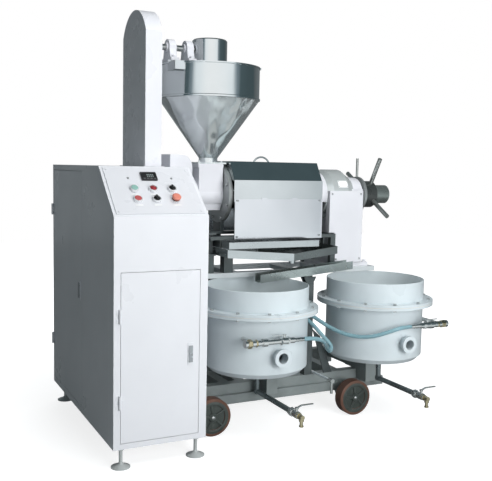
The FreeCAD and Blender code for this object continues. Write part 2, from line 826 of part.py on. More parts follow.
# Feeder on top of the hopper
def bevel_gear(teeth, pitch_radius, mate_radius, hub_radius, hub_back, bore, first_angle):
    """Straight bevel gear about +Z with its apex at the origin and its back towards +Z."""
    cone = math.atan2(pitch_radius, mate_radius)
    outer = math.hypot(pitch_radius, mate_radius)
    inner = outer - gear_face
    module = 2 * pitch_radius / teeth
    half = math.pi * module / 4 * 0.84
    tip, root = 0.75 * module, 1.05 * module
    slope = math.tan(math.radians(20))
    along = V(math.sin(cone), 0, math.cos(cone))
    out = V(math.cos(cone), 0, -math.sin(cone))
    side = V(0, 1, 0)

    def section(distance):
        k = distance / outer
        return [along * distance + out * (height * k) + side * (width * k) for height,
                width in ((-root - 0.6, -half - root * slope), (tip, -half + tip * slope),
                          (tip, half - tip * slope), (-root - 0.6, half + root * slope))]

    wires = [Part.makePolygon(points + points[:1]) for points in (section(outer), section(inner))]
    tooth = Part.makeLoft(wires, True, True)
    foot_outer = along * outer + out * -root
    foot_inner = along * inner + out * -root * (inner / outer)
    profile = [(foot_inner.z, foot_inner.x), (foot_outer.z, foot_outer.x),
               (foot_outer.z + 6, foot_outer.x - 2), (foot_outer.z + 6, hub_radius),
               (hub_back, hub_radius), (hub_back, bore), (foot_inner.z, bore)]
    body = turned([(z, x) for z, x in profile], (0, 0, 0), (0, 0, 1), (1, 0, 0))
    copies = []
    for i in range(teeth):
        copy = tooth.copy()
        copy.rotate(V(0, 0, 0), V(0, 0, 1), first_angle + 360.0 * i / teeth)
        copies.append(copy)
    return body.multiFuse(copies)


pinion_pitch_radius = gear_pitch_radius * pinion_teeth / gear_teeth


def feeder_shaft():
    """Shaft with the upper belt pulley and the bevel pinion."""
    small = pulley(feeder_pulley_x, feeder_pulley_radius, feeder_groove_count, feeder_shaft_radius - 2,
                   press_y, feeder_z)
    pinion = bevel_gear(pinion_teeth, pinion_pitch_radius, gear_pitch_radius, 26,
                        gear_pitch_radius + 10, feeder_shaft_radius - 2, 0)
    pinion.rotate(V(0, 0, 0), V(0, 1, 0), -90)
    pinion.translate(V(hopper_x, press_y, feeder_z))
    shaft = rod((feeder_pulley_x - 8, press_y, feeder_z),
                (hopper_x - gear_pitch_radius + gear_face, press_y, feeder_z), feeder_shaft_radius)
    return fuse([small, pinion, shaft])


def feed_auger():
    """Upright auger with the driven bevel gear at its top."""
    gear = bevel_gear(gear_teeth, gear_pitch_radius, pinion_pitch_radius, 30, pinion_pitch_radius + 14,
                      auger_shaft_radius - 2, 0)
    gear.rotate(V(0, 0, 0), V(0, 1, 0), 180)
    gear.translate(V(hopper_x, press_y, feeder_z))
    shaft = rod((hopper_x, press_y, auger_bottom),
                (hopper_x, press_y, feeder_z - pinion_pitch_radius + 8), auger_shaft_radius)
    turns = (auger_flight_top - auger_bottom) / auger_pitch
    helix = Part.makeHelix(auger_pitch, auger_pitch * turns - 8, auger_shaft_radius - 1)
    section = Part.makePolygon([V(auger_shaft_radius - 1, 0, 0), V(auger_radius, 0, 1),
                                V(auger_radius, 0, 5), V(auger_shaft_radius - 1, 0, 6),
                                V(auger_shaft_radius - 1, 0, 0)])
    blade = Part.Wire(helix.Edges).makePipeShell([section], True, True)
    blade.translate(V(hopper_x, press_y, auger_bottom + 1))
    return gear.fuse(shaft.fuse(blade))


def pillow_block(x, y, z, base, bore):
    """Bearing housing on two bolts, with its shaft along X."""
    half = pillow_length / 2
    foot = box(x - pillow_width / 2, x + pillow_width / 2, y - half, y + half, base, base + 16)
    neck = plate([(x - pillow_width / 2 + 4, y - 52, base + 16),
                  (x - pillow_width / 2 + 4, y + 52, base + 16), (x - pillow_width / 2 + 4, y + 38, z),
                  (x - pillow_width / 2 + 4, y - 38, z)], (pillow_width - 8, 0, 0))
    ring = rod((x - pillow_width / 2 + 4, y, z), (x + pillow_width / 2 - 4, y, z), pillow_radius)
    collar = rod((x - pillow_width / 2 - 4, y, z), (x + pillow_width / 2 + 4, y, z), bore + 9)
    bolts = [rod((x, y + s * (half - 18), base + 16), (x, y + s * (half - 18), base + 28), 11)
             for s in (-1, 1)]
    block = fuse([foot, neck, ring, collar] + bolts)
    return block.cut(rod((x - pillow_width, y, z), (x + pillow_width, y, z), bore + FIT))


def bearing_bracket():
    """Angle frame beside the hopper, the bridge over its mouth and the bearings of both shafts."""
    leg, wall = 42.0, 4.0
    front = press_y - 167.0
    back = 2 * press_y - front
    reach = hopper_x - math.sqrt(hopper_radius ** 2 - (press_y - front) ** 2) + 2.0
    frame = [angle_bar_x(bridge_left, reach, front, bridge_bottom, leg, wall, 1, -1),
             angle_bar_x(bridge_left, reach, back, bridge_bottom, leg, wall, -1, -1),
             fuse([box(bridge_left, bridge_left + wall, front, back, bridge_bottom - leg,
                       bridge_bottom),
                   box(bridge_left, bridge_left + 18, front, back, bridge_bottom - wall,
                       bridge_bottom)])]
    frame = cut(fuse(frame),
                [rod((hopper_x, press_y, bridge_bottom - leg - 1), (hopper_x, press_y, bridge_bottom),
                     hopper_radius),
                 rod((hopper_x, press_y, hopper_top - 6), (hopper_x, press_y, bridge_bottom + 1),
                     hopper_radius + 4 + GAP)])
    bridge = box(bridge_left, hopper_x + hopper_radius + 6, press_y - bridge_width / 2,
                 press_y + bridge_width / 2, bridge_bottom, bridge_top)
    bush = rod((hopper_x, press_y, bridge_top), (hopper_x, press_y, bridge_top + 12),
               auger_shaft_radius + 12)
    bore = rod((hopper_x, press_y, bridge_bottom - 1), (hopper_x, press_y, bridge_top + 13),
               auger_shaft_radius + FIT)
    bridge = bridge.fuse(bush).cut(bore)
    blocks = [pillow_block(x, press_y, feeder_z, bridge_top, feeder_shaft_radius)
              for x in pillow_positions]
    beam_top = input_z - 62.0
    beam_x = 215.0
    beam = fuse([box(beam_x - 28, beam_x + 28, cabinet_sheet, cabinet_depth - cabinet_sheet,
                     beam_top - 8, beam_top),
                 box(beam_x - 28, beam_x - 22, cabinet_sheet, cabinet_depth - cabinet_sheet,
                     beam_top - 50, beam_top)])
    inner = pillow_block(beam_x, press_y, input_z, beam_top, input_shaft_radius)
    return group([frame, bridge, beam, inner] + blocks)


def gear_cover():
    wall = 2.0
    cover = turned_z([(bridge_top, gear_cover_radius - wall), (bridge_top, gear_cover_radius),
                      (gear_cover_top - 6, gear_cover_radius), (gear_cover_top, gear_cover_radius - 6),
                      (gear_cover_top, 0), (gear_cover_top - wall, 0),
                      (gear_cover_top - wall, gear_cover_radius - 7),
                      (gear_cover_top - 7, gear_cover_radius - wall)], hopper_x, press_y)
    slot = rod((hopper_x - gear_cover_radius - 4, press_y, feeder_z),
               (hopper_x - 60, press_y, feeder_z), feeder_shaft_radius + 3)
    rim = turned_z([(bridge_top, gear_cover_radius), (bridge_top, gear_cover_radius + 10),
                    (bridge_top + 3, gear_cover_radius + 10), (bridge_top + 3, gear_cover_radius)],
                   hopper_x, press_y)
    rim = rim.common(box(hopper_x - 200, hopper_x + 200, press_y - bridge_width / 2,
                         press_y + bridge_width / 2, bridge_top, bridge_top + 3))
    return cover.cut(slot).fuse(rim)


def belt_guard():
    def arch(inset, base):
        y0, y1 = guard_y0 + inset, guard_y1 - inset
        x = guard_left + inset
        edges = [Part.LineSegment(V(x, y0, base), V(x, y1, base)).toShape(),
                 Part.LineSegment(V(x, y1, base), V(x, y1, guard_shoulder)).toShape(),
                 Part.Arc(V(x, y1, guard_shoulder), V(x, press_y, guard_top - inset),
                          V(x, y0, guard_shoulder)).toShape(),
                 Part.LineSegment(V(x, y0, guard_shoulder), V(x, y0, base)).toShape()]
        return Part.Face(Part.Wire(edges)).extrude(V(guard_width - 2 * inset, 0, 0))

    hood = arch(0, cabinet_top).cut(arch(guard_sheet, cabinet_top - 1))
    foot = box(guard_left - 12, guard_left + guard_width + 12, guard_y0 - 14, guard_y1 + 14,
               cabinet_top, cabinet_top + 3)
    foot = foot.cut(box(guard_left + 1, guard_left + guard_width - 1, guard_y0 + 1, guard_y1 - 1,
                        cabinet_top - 1, cabinet_top + 4))
    hole = rod((guard_left + guard_width - 10, press_y, feeder_z),
               (guard_left + guard_width + 1, press_y, feeder_z), feeder_shaft_radius + 4)
    return hood.fuse(foot).cut(hole)


def hopper():
    t = hopper_sheet
    r0, r1 = throat_bore_radius + t, hopper_radius
    outer = [(throat_flange_top, r0 - t), (throat_flange_top, r0), (spout_top, r0),
             (hopper_cone_top - 6, r1 - 2), (hopper_cone_top - 3, r1 + 4),
             (hopper_cone_top + 5, r1 + 4), (hopper_cone_top + 8, r1), (hopper_top - 5, r1),
             (hopper_top - 3, r1 + 4), (hopper_top + hopper_rim, r1 + 4),
             (hopper_top + hopper_rim, r1 - t), (hopper_cone_top, r1 - t), (spout_top, r0 - t)]
    bowl = turned_z(outer, hopper_x, press_y)
    half_d = throat_depth / 2
    flange = box(throat_flange_left, hopper_flange_right, press_y - half_d, press_y + half_d,
                 throat_flange_top, throat_flange_top + hopper_flange_thick)
    flange = flange.cut(rod((hopper_x, press_y, throat_flange_top - 1),
                            (hopper_x, press_y, throat_flange_top + hopper_flange_thick + 1), r0 - t))
    top = throat_flange_top + hopper_flange_thick
    bolts = [rod((x, press_y + side * (half_d - 10), top), (x, press_y + side * (half_d - 10), top + 8),
                 6) for x in (throat_flange_left + 10, hopper_flange_right - 24) for side in (-1, 1)]
    return fuse([bowl, flange] + bolts)


def feed_throat():
    y0, y1 = press_y - throat_depth / 2, press_y + throat_depth / 2
    x0, x1 = throat_left, throat_left + throat_width
    neck_left = gearbox_right + 11.0
    block = box(x0, x1, y0, y1, press_z, throat_flange_top - 4)
    cheek = plate([(x0, y0, press_z), (x0, y1, press_z), (x0, y1 - 30, press_z - 84),
                   (x0, y0 + 30, press_z - 84)], (throat_width, 0, 0))
    flange = box(throat_flange_left, disc_x - 1, y0, y1, throat_flange_top - throat_flange_thick,
                 throat_flange_top)
    barrel = rod((neck_left + 24, press_y, press_z), (disc_x, press_y, press_z), throat_barrel_radius)
    neck = turned_x([(neck_left, 0), (neck_left, 84), (neck_left + 8, 84),
                     (neck_left + 8, neck_flange_radius), (neck_left + 16, neck_flange_radius),
                     (neck_left + 16, neck_flange_radius - 16),
                     (neck_left + 34, throat_barrel_radius - 3), (neck_left + 34, 0)])
    body = fuse([block, cheek, flange, barrel, neck])
    drop = rod((hopper_x, press_y, press_z), (hopper_x, press_y, throat_flange_top + 1),
               throat_bore_radius)
    chamber = rod((worm_start - 6, press_y, press_z), (disc_x + 1, press_y, press_z), cage_bore_radius)
    shaft = rod((neck_left - 1, press_y, press_z), (worm_start, press_y, press_z),
                worm_shaft_radius + FIT)
    return cut(body, [drop, chamber, shaft])


# Press cage and worm
def press_cage():
    """Cage of bars held by rings that split level with the shaft."""
    outer = cage_bore_radius + cage_bar_depth
    step = 360.0 / cage_bar_count
    half = math.radians(step / 2) * cage_bore_radius - 0.5
    bars = []
    for i in range(cage_bar_count):
        bar = plate([(cage_left, press_y - half, press_z + cage_bore_radius),
                     (cage_left, press_y + half, press_z + cage_bore_radius),
                     (cage_left, press_y + half + 1.5, press_z + outer),
                     (cage_left, press_y - half - 1.5, press_z + outer)], (cage_length, 0, 0))
        bar.rotate(V(0, press_y, press_z), V(1, 0, 0), step * (i + 0.5))
        bars.append(bar)
    rings = []
    span = (cage_length - cage_ring_width) / (cage_ring_count - 1)
    for i in range(cage_ring_count):
        x = cage_left + i * span
        ring = rod((x, press_y, press_z), (x + cage_ring_width, press_y, press_z), cage_ring_radius)
        ears = box(x, x + cage_ring_width, press_y - cage_ring_radius - 18,
                   press_y + cage_ring_radius + 18, press_z - 17, press_z + 17)
        ring = ring.fuse(ears).cut(rod((x - 1, press_y, press_z),
                                       (x + cage_ring_width + 1, press_y, press_z), outer - 1.5))
        rings.append(ring)
    ties = [box(cage_left, cage_right, press_y + s * (cage_ring_radius + 9) - 9,
                press_y + s * (cage_ring_radius + 9) + 9, press_z + level - 4, press_z + level + 4)
            for s in (-1, 1) for level in (-13, 13)]
    return fuse(rings + ties + bars)


def press_worm():
    """Shaft with worm sections of falling pitch on a growing root, parted by collars."""
    x = worm_start
    total = sum(worm_pitches) + worm_collar * (len(worm_pitches) - 1)
    shaft = rod((gearbox_left + 62, press_y, press_z), (sleeve_end - 14, press_y, press_z),
                worm_shaft_radius)
    roots = []
    blades = []
    for i, pitch in enumerate(worm_pitches):
        share = (x - worm_start) / total
        root = worm_root_start + (worm_root_end - worm_root_start) * share
        roots.append(rod((x, press_y, press_z), (x + pitch, press_y, press_z), root))
        blades.append(flight(pitch, root, worm_radius, flight_thickness, x))
        x += pitch
        if i < len(worm_pitches) - 1:
            roots.append(turned_x([(x, 0), (x, root), (x + worm_collar / 2, root + 4),
                                   (x + worm_collar, root), (x + worm_collar, 0)]))
            x += worm_collar
    worm = fuse([shaft] + roots + blades)
    room = rod((worm_start, press_y, press_z), (x, press_y, press_z), worm_radius + 1)
    return worm.common(fuse([room, shaft]))


def cage_flange():
    """Large bolted flange between the feed throat and the cage."""
    disc = turned_x([(disc_x, cage_bore_radius), (disc_x, disc_radius),
                     (disc_x + disc_width, disc_radius), (disc_x + disc_width, cage_bore_radius)])
    bolts = []
    for i in range(8):
        a = math.radians(22.5 + 45 * i)
        y, z = press_y + (disc_radius - 16) * math.cos(a), press_z + (disc_radius - 16) * math.sin(a)
        if z < press_z or abs(y - press_y) > throat_depth / 2:
            bolts.append(rod((disc_x - 9, y, z), (disc_x, y, z), 8))
    return fuse([disc] + bolts)


def cake_outlet():
    """End ring of the cage with a hood over the gap where the cake falls."""
    x0 = cage_right
    x1 = x0 + outlet_ring_width
    seat = turned_x([(x0, cage_bore_radius), (x0, outlet_ring_radius), (x0 + 24, outlet_ring_radius),
                     (x0 + 24, outlet_ring_radius - 12), (x1, outlet_ring_radius - 12), (x1, 96),
                     (x0 + 14, 78), (x0 + 8, cage_bore_radius)])
    hood = turned_x([(x1, 104), (x1, outlet_ring_radius - 12), (housing_left, outlet_ring_radius - 2),
                     (housing_left, 112)])
    hood = hood.cut(box(x1 - 1, housing_left + 1, press_y - 200, press_y + 200, press_z - 200,
                        press_z - 40))
    return seat.fuse(hood)


def side_covers():
    """Fixed stainless sheets: the upper front strip and the rear sheet."""
    t = cover_sheet
    back = 2 * press_y - cover_front_y
    x0, x1 = cage_left, cage_right
    top = hood_base - SEAT
    near = cover_front_y + SEAT
    front = fuse([box(x0, x1, near, near + t, cover_split - 14, top),
                  box(x0, x1, near, near + 24, top - t, top)])
    rear = fuse([box(x0, x1, back - t, back, cover_bottom, top),
                 box(x0, x1, back - 24, back, top - t, top)])
    stays = []
    for s, edge in ((-1, near + t), (1, back - t)):
        for x in (x0, x1 - cage_ring_width):
            y0, y1 = sorted((edge, press_y + s * (cage_ring_radius + 18)))
            stays.append(box(x, x + cage_ring_width, y0, y1, press_z + 20, press_z + 26))
            inner0, inner1 = sorted((press_y + s * (cage_ring_radius - 6),
                                     press_y + s * (cage_ring_radius + 18)))
            stays.append(box(x, x + cage_ring_width, inner0, inner1, press_z + 17, press_z + 26))
    front = fuse([front] + stays[:4])
    rear = fuse([rear] + stays[4:])
    cage = rod((x0 - 1, press_y, press_z), (x1 + 1, press_y, press_z), cage_ring_radius)
    return group([front.cut(cage), rear.cut(cage)])


def front_cover():
    """Sheet that hangs in front of the cage, with two clips at its top edge."""
    t = cover_sheet
    x0, x1 = cage_left + 2, cage_right - 2
    low = cover_rail_z
    sheet = box(x0, x1, cover_front_y - t, cover_front_y, low, cover_split)
    sides = [box(x, x + t, cover_front_y - t - 4, cover_front_y, low, cover_split)
             for x in (x0, x1 - t)]
    clips = [box(x - 16, x + 16, cover_front_y - t - 3, cover_front_y, cover_split - 8, cover_split + 8)
             for x in (x0 + 170, x0 + 350)]
    return fuse([sheet] + sides + clips)


def cage_hood():
    """Folded hood over the cage with a wire handle."""
    t = cover_sheet
    x0, x1 = cage_left + 1, cage_right - 1
    back = 2 * press_y - hood_front_y

    def outline(inset, base):
        return [(x0 + inset, hood_front_y + inset, base),
                (x0 + inset, hood_front_y + hood_slope + inset * 0.6, hood_top - inset),
                (x0 + inset, back - hood_slope - inset * 0.6, hood_top - inset),
                (x0 + inset, back - inset, base)]

    shell = plate(outline(0, hood_base), (x1 - x0, 0, 0))
    shell = shell.cut(plate(outline(t, hood_base - 1), (x1 - x0 - 2 * t, 0, 0)))
    arch = rod((x0 - 1, press_y, press_z), (x1 + 1, press_y, press_z), cage_ring_radius + 4)
    path = Part.makeBox(x1 - x0 + 2, 400, cage_ring_radius + 3, V(x0 - 1, press_y, press_z))
    path.rotate(V(x0, press_y, press_z), V(1, 0, 0), -hood_lift_angle)
    shell = cut(shell, [arch, path])
    middle = (x0 + x1) / 2 - 28
    half = handle_span / 2
    start = V(middle - half, press_y, hood_top - t / 2)
    bow = Part.Arc(start, V(middle, press_y, hood_top + handle_rise),
                   V(middle + half, press_y, hood_top - t / 2))
    ring = Part.Wire(Part.makeCircle(handle_radius, start, bow.tangent(bow.FirstParameter)[0]))
    handle = Part.Wire(bow.toShape()).makePipeShell([ring], True, True)
    return fuse([shell, handle])


# Discharge end
def end_pedestal():
    """Cast pedestal with the bearing housing of the discharge end."""
    y0, y1 = press_y - pedestal_depth / 2, press_y + pedestal_depth / 2
    x0, x1 = pedestal_left, pedestal_left + pedestal_width
    foot_top = table_top + 22.0
    column = box(x0, x1, y0, y1, table_top, pedestal_shoulder)
    hollow = box(x0 + 14, x1 - 14, y0 + 14, y1 - 14, table_top - 1, press_z - housing_radius)
    foot = box(x0 - 18, x1 + 30, y0 - 26, y1 + 26, table_top, foot_top)
    bolts = [rod((x, y, foot_top), (x, y, foot_top + 12), 10) for x in (x0 - 4, x1 + 16)
             for y in (y0 - 12, y1 + 12)]
    housing = turned_x([(housing_left, 0), (housing_left, 118), (pedestal_left, housing_radius),
                        (housing_right, housing_radius), (housing_cone_end, boss_radius + 8),
                        (boss_end, boss_radius), (boss_end, 0)])
    body = fuse([column, foot, housing] + bolts)
    cavity = turned_x([(housing_left - 1, 0), (housing_left - 1, 104), (housing_left + 20, 84),
                       (pedestal_left + 10, 84), (pedestal_left + 10, 0)])
    chute = box(housing_left - 1, x0, y0 + 30, y1 - 30, press_z - 200, press_z - 40)
    bore = rod((x0, press_y, press_z), (boss_end + 1, press_y, press_z), sleeve_radius + FIT)
    return cut(body, [hollow, cavity, chute, bore])


def choke_sleeve():
    """Screwed sleeve on the shaft, with the cone that sets the cake gap."""
    profile = [(cone_tip_x, worm_shaft_radius + FIT), (cone_tip_x, cone_tip_radius),
               (cone_tip_x + 36, cone_radius), (cone_tip_x + 56, cone_radius),
               (cone_tip_x + 60, sleeve_radius), (sleeve_end - 3, sleeve_radius),
               (sleeve_end, sleeve_radius - 3), (sleeve_end, worm_shaft_radius + FIT)]
    return turned_x(profile)


def lock_ring():
    x0 = lock_ring_x
    ring = turned_x([(x0, sleeve_radius + FIT), (x0, lock_ring_radius - 14), (x0 + 6, lock_ring_radius),
                     (x0 + lock_ring_width - 6, lock_ring_radius),
                     (x0 + lock_ring_width, lock_ring_radius - 10),
                     (x0 + lock_ring_width, sleeve_radius + FIT)])
    middle = x0 + lock_ring_width / 2
    handle = rod((middle, press_y, press_z + lock_ring_radius - 20),
                 (middle, press_y, press_z + lock_rod_reach), lock_rod_radius)
    return ring.fuse(handle)


def adjusting_nut():
    x0 = lock_ring_x + lock_ring_width + 4.0
    x1 = x0 + nut_hub_length
    hub = turned_x([(x0, sleeve_radius + FIT), (x0, nut_hub_radius - 4), (x0 + 4, nut_hub_radius),
                    (x1 - 8, nut_hub_radius), (x1, nut_hub_radius - 8), (x1, sleeve_radius + FIT)])
    bars = []
    for angle in nut_bar_angles:
        a = math.radians(angle)
        way = V(0, math.sin(a), math.cos(a))
        start = V(nut_bar_x, press_y, press_z) + way * (sleeve_radius + 8)
        bars.append(Part.makeCylinder(nut_bar_radius, nut_bar_reach - sleeve_radius - 8, start, way))
    return fuse([hub] + bars)


# Frames
def press_frame():
    """Table under the press, the channels under the gearbox and the light rails round the covers."""
    r = table_rail
    top = table_top
    x0, x1 = cabinet_width, table_right
    low = top - table_rail_height
    long_rails = [box(x0, x1, y, y + r, low, top) for y in (table_front, table_back - r)]
    cross = [box(x, x + r, table_front + r, table_back - r, low, top)
             for x in (x0 + post_inset, middle_leg_x, 1120.0, pedestal_left - 40,
                       base_right - post_size)]
    bed = box(pedestal_left - 60, x1, table_front, table_back, top - 12, top)
    table = fuse(long_rails + cross + [bed])
    channels = []
    for y, inward in ((press_y - gearbox_depth / 2 - 22, 1), (press_y + gearbox_depth / 2 + 22, -1)):
        y0, y1 = sorted((y, y + inward * channel_flange))
        w0, w1 = sorted((y + inward * (channel_flange - channel_wall), y + inward * channel_flange))
        low = channel_top - channel_height
        channels += [box(x0, channel_right, y0, y1, channel_top - channel_wall, channel_top),
                     box(x0, channel_right, y0, y1, low, low + channel_wall),
                     box(x0, channel_right, w0, w1, low, channel_top)]
        for x in (x0 + 20, channel_right - 60):
            channels.append(box(x, x + 50, min(w0, w1 - 50), max(w1, w0 + 50), top, low))
    ends = box(channel_right - channel_wall, channel_right,
               press_y - gearbox_depth / 2 - 22 + channel_flange,
               press_y + gearbox_depth / 2 + 22 - channel_flange, channel_top - channel_height,
               channel_top)
    stand = fuse(channels + [ends])
    support = fuse([box(channel_right, disc_x + disc_width, press_y - 50, press_y + 50,
                        channel_top - 14, channel_top),
                    box(disc_x + 1, disc_x + disc_width - 1, press_y - 46, press_y + 46, channel_top,
                        press_z - disc_radius + 8),
                    box(channel_right, disc_x + disc_width, press_y - 8, press_y + 8,
                        tray_bottom + tray_height + 6, channel_top)])
    support = support.cut(rod((disc_x - 2, press_y, press_z),
                              (disc_x + disc_width + 2, press_y, press_z), disc_radius))
    front, back = cover_rail_front, 2 * press_y - cover_rail_front
    rail_top = cover_rail_z + cover_rail_height
    rails = []
    for y, inward in ((front, 1), (back, -1)):
        w0, w1 = sorted((y, y + inward * 4))
        f0, f1 = sorted((y, y + inward * 40))
        p0, p1 = sorted((y, y + inward * cover_post_depth))
        rails += [box(channel_right - 40, cover_rail_right, w0, w1, cover_rail_z, rail_top),
                  box(channel_right - 40, cover_rail_right, f0, f1, rail_top - 4, rail_top),
                  box(cover_rail_right - 30, cover_rail_right, p0, p1, top, rail_top)]
    ends = [box(x, x + 4, front, back, cover_rail_z, rail_top)
            for x in (channel_right - 40, cover_end_x)]
    rails += ends
    for x0, x1, web in ((tray_left - 6, tray_left + 20, tray_left - 6),
                        (tray_left + tray_length - 20, tray_left + tray_length + 6,
                         tray_left + tray_length + 2)):
        rails += [box(x0, x1, front, back, tray_bottom - SEAT - 2.5, tray_bottom - SEAT),
                  box(web, web + 4, front, back, tray_bottom - SEAT - 2.5, cover_rail_z)]
    post_right = pan_post_left + post_size
    rails += [box(pan_post_left, post_right, y, y + post_size, top, pan_floor_z(post_right) - SEAT)
              for y in (table_front, table_back - post_size)]
    skirt = fuse(rails)
    return fuse([table, stand, support, skirt])


def frame_posts():
    """Legs under the table, the trough post with its fork and the brace."""
    p = post_size
    legs = []
    for x, front in ((cabinet_width + post_inset, table_front), (middle_leg_x, middle_leg_y),
                     (base_right - p, middle_leg_y)):
        for y in (front, table_back - p):
            legs.append(square_tube((x, y, base_top), p, base_wall, "z",
                                    table_top - table_rail_height - base_top))
    half = trough_post_width / 2
    fork_base = trough_pivot_z - 22
    post = square_tube((trough_pivot_x - half, trough_y - half, base_top), trough_post_width, 4.0, "z",
                       fork_base - base_top)
    cap = box(trough_pivot_x - half, trough_pivot_x + half, trough_y - half, trough_y + half,
              fork_base - 5, fork_base)
    cheeks = [plate([(trough_pivot_x - half, y, fork_base), (trough_pivot_x + half, y, fork_base),
                     (trough_pivot_x + fork_half, y, trough_pivot_z + 8),
                     (trough_pivot_x - fork_half, y, trough_pivot_z + 8)], (0, 5, 0))
              for y in (trough_y - half + 2, trough_y + half - 7)]
    pin = rod((trough_pivot_x, trough_y - half, trough_pivot_z),
              (trough_pivot_x, trough_y + half, trough_pivot_z), 5)
    brace = plate([(trough_pivot_x + half, trough_y - half, 450),
                   (trough_pivot_x + half + 46, trough_y - half, 410),
                   (trough_pivot_x + half + 128, trough_y - half, base_top),
                   (trough_pivot_x + half + 76, trough_y - half, base_top)], (0, 5, 0))
    return group(legs + [fuse([post, cap, brace, pin] + cheeks)])


def base_frame():
    """Low frame of stacked tubes that carries the posts, the drums and the axles."""
    x0, x1 = cabinet_width, base_right
    z1 = base_bottom + base_lower
    lower = [box(x0, x1, y, y + 50, base_bottom, z1) for y in (base_rail_front, base_back - 50)]
    upper = [box(x0, x1, y, y + 50, z1, base_top)
             for y in (base_front_upper, base_back - base_setback - 50)]
    y0, y1 = base_front_upper + 50, base_back - base_setback - 50
    cross = [box(x, x + 50, y0, y1, z1, base_top)
             for x in (x0 + post_inset, 670.0, middle_leg_x, 1120.0, 1330.0, x1 - 50)]
    hollows = [box(x0 - 1, x1 + 1, y + 4, y + 46, base_bottom + 4, z1 - 4)
               for y in (base_rail_front, base_back - 50)]
    frame = cut(fuse(lower + upper + cross), hollows)
    legs = []
    for drum in drums.values():
        middle = drum["x"] + drum["leg"]
        x_left, x_right = middle - leg_width / 2, middle + leg_width / 2
        legs.append(box(x_left, x_right, leg_front, base_front_upper, z1, drum_bottom))
        legs.append(box(x_left, x_right, base_front_upper, leg_front + leg_depth + 110, base_top,
                        drum_bottom))
        legs.append(box(x_left - 60, x_right + 60, leg_front + leg_depth + 60,
                        leg_front + leg_depth + 110, drum_bottom - 40, drum_bottom))
    hangers = []
    for x in wheel_positions:
        for y in (base_rail_front + 10, base_back - 40):
            hanger = plate([(x - 34, y, base_bottom), (x + 34, y, base_bottom),
                            (x + 22, y, wheel_radius - 16), (x - 22, y, wheel_radius - 16)], (0, 30, 0))
            cap = rod((x, y, wheel_radius), (x, y + 30, wheel_radius), 24)
            hangers.append(hanger.fuse(cap))
    frame = fuse([frame] + legs + hangers)
    bores = [rod((x, base_rail_front, wheel_radius), (x, base_back, wheel_radius), axle_radius + FIT)
             for x in wheel_positions]
    return cut(frame, bores)


# Oil pan, tray and trough
def pan_floor_z(x):
    if x < pan_low_x:
        share = (x - pan_left) / (pan_low_x - pan_left)
        return pan_left_rim + (pan_low_rim - pan_left_rim) * share - pan_height
    share = (x - pan_low_x) / (pan_right - pan_low_x)
    return pan_low_rim + (pan_right_rim - pan_low_rim) * share - pan_height


def oil_pan():
    """Pan with a floor that falls from both ends to the drop over the trough."""
    w = pan_wall
    y0, y1 = pan_front, pan_front + pan_depth
    h = pan_height
    outer = [(pan_left, y0, pan_floor_z(pan_left)), (pan_low_x, y0, pan_floor_z(pan_low_x)),
             (pan_right, y0, pan_floor_z(pan_right)), (pan_right, y0, pan_right_rim),
             (pan_low_x, y0, pan_low_rim), (pan_left, y0, pan_left_rim)]
    inner = [(pan_left + w, y0 + w, pan_floor_z(pan_left) + w),
             (pan_low_x, y0 + w, pan_floor_z(pan_low_x) + w),
             (pan_right - w, y0 + w, pan_floor_z(pan_right) + w),
             (pan_right - w, y0 + w, pan_right_rim + h), (pan_left + w, y0 + w, pan_left_rim + h)]
    body = plate(outer, (0, pan_depth, 0)).cut(plate(inner, (0, pan_depth - 2 * w, 0)))
    spout = rod((pan_low_x, trough_y, pan_floor_z(pan_low_x) - 12),
                (pan_low_x, trough_y, pan_floor_z(pan_low_x) + 4), 17)
    drop = rod((pan_low_x, trough_y, pan_floor_z(pan_low_x) - 13),
               (pan_low_x, trough_y, pan_floor_z(pan_low_x) + 20), 14)
    low, high = cover_rail_z, cover_rail_z + 6
    posts = [box(channel_right, pan_left + w, y, y + 40, pan_left_rim - 26, pan_left_rim + 8)
             for y in (press_y - 60, press_y + 20)]
    posts += [box(pan_right - w, cover_end_x, y, y + 30, low, high) for y in (y0 + 136, y1 - 90)]
    posts += [box(pan_right - w, pan_right, y, y + 30, pan_right_rim - 10, high)
              for y in (y0 + 136, y1 - 90)]
    return fuse([body, spout] + posts).cut(drop)


def residue_tray():
    """Shallow drawer under the covers with a turned front lip."""
    w = pan_wall
    x0, x1 = tray_left, tray_left + tray_length
    y0, y1 = tray_front, tray_front + tray_depth
    body = box(x0, x1, y0, y1, tray_bottom, tray_bottom + tray_height)
    body = body.cut(box(x0 + w, x1 - w, y0 + w, y1 - w, tray_bottom + w, tray_bottom + tray_height + 1))
    lip = box(x0 + 20, x1 - 20, y0 - 10, y0, tray_bottom + tray_height - 3, tray_bottom + tray_height)
    return body.fuse(lip)


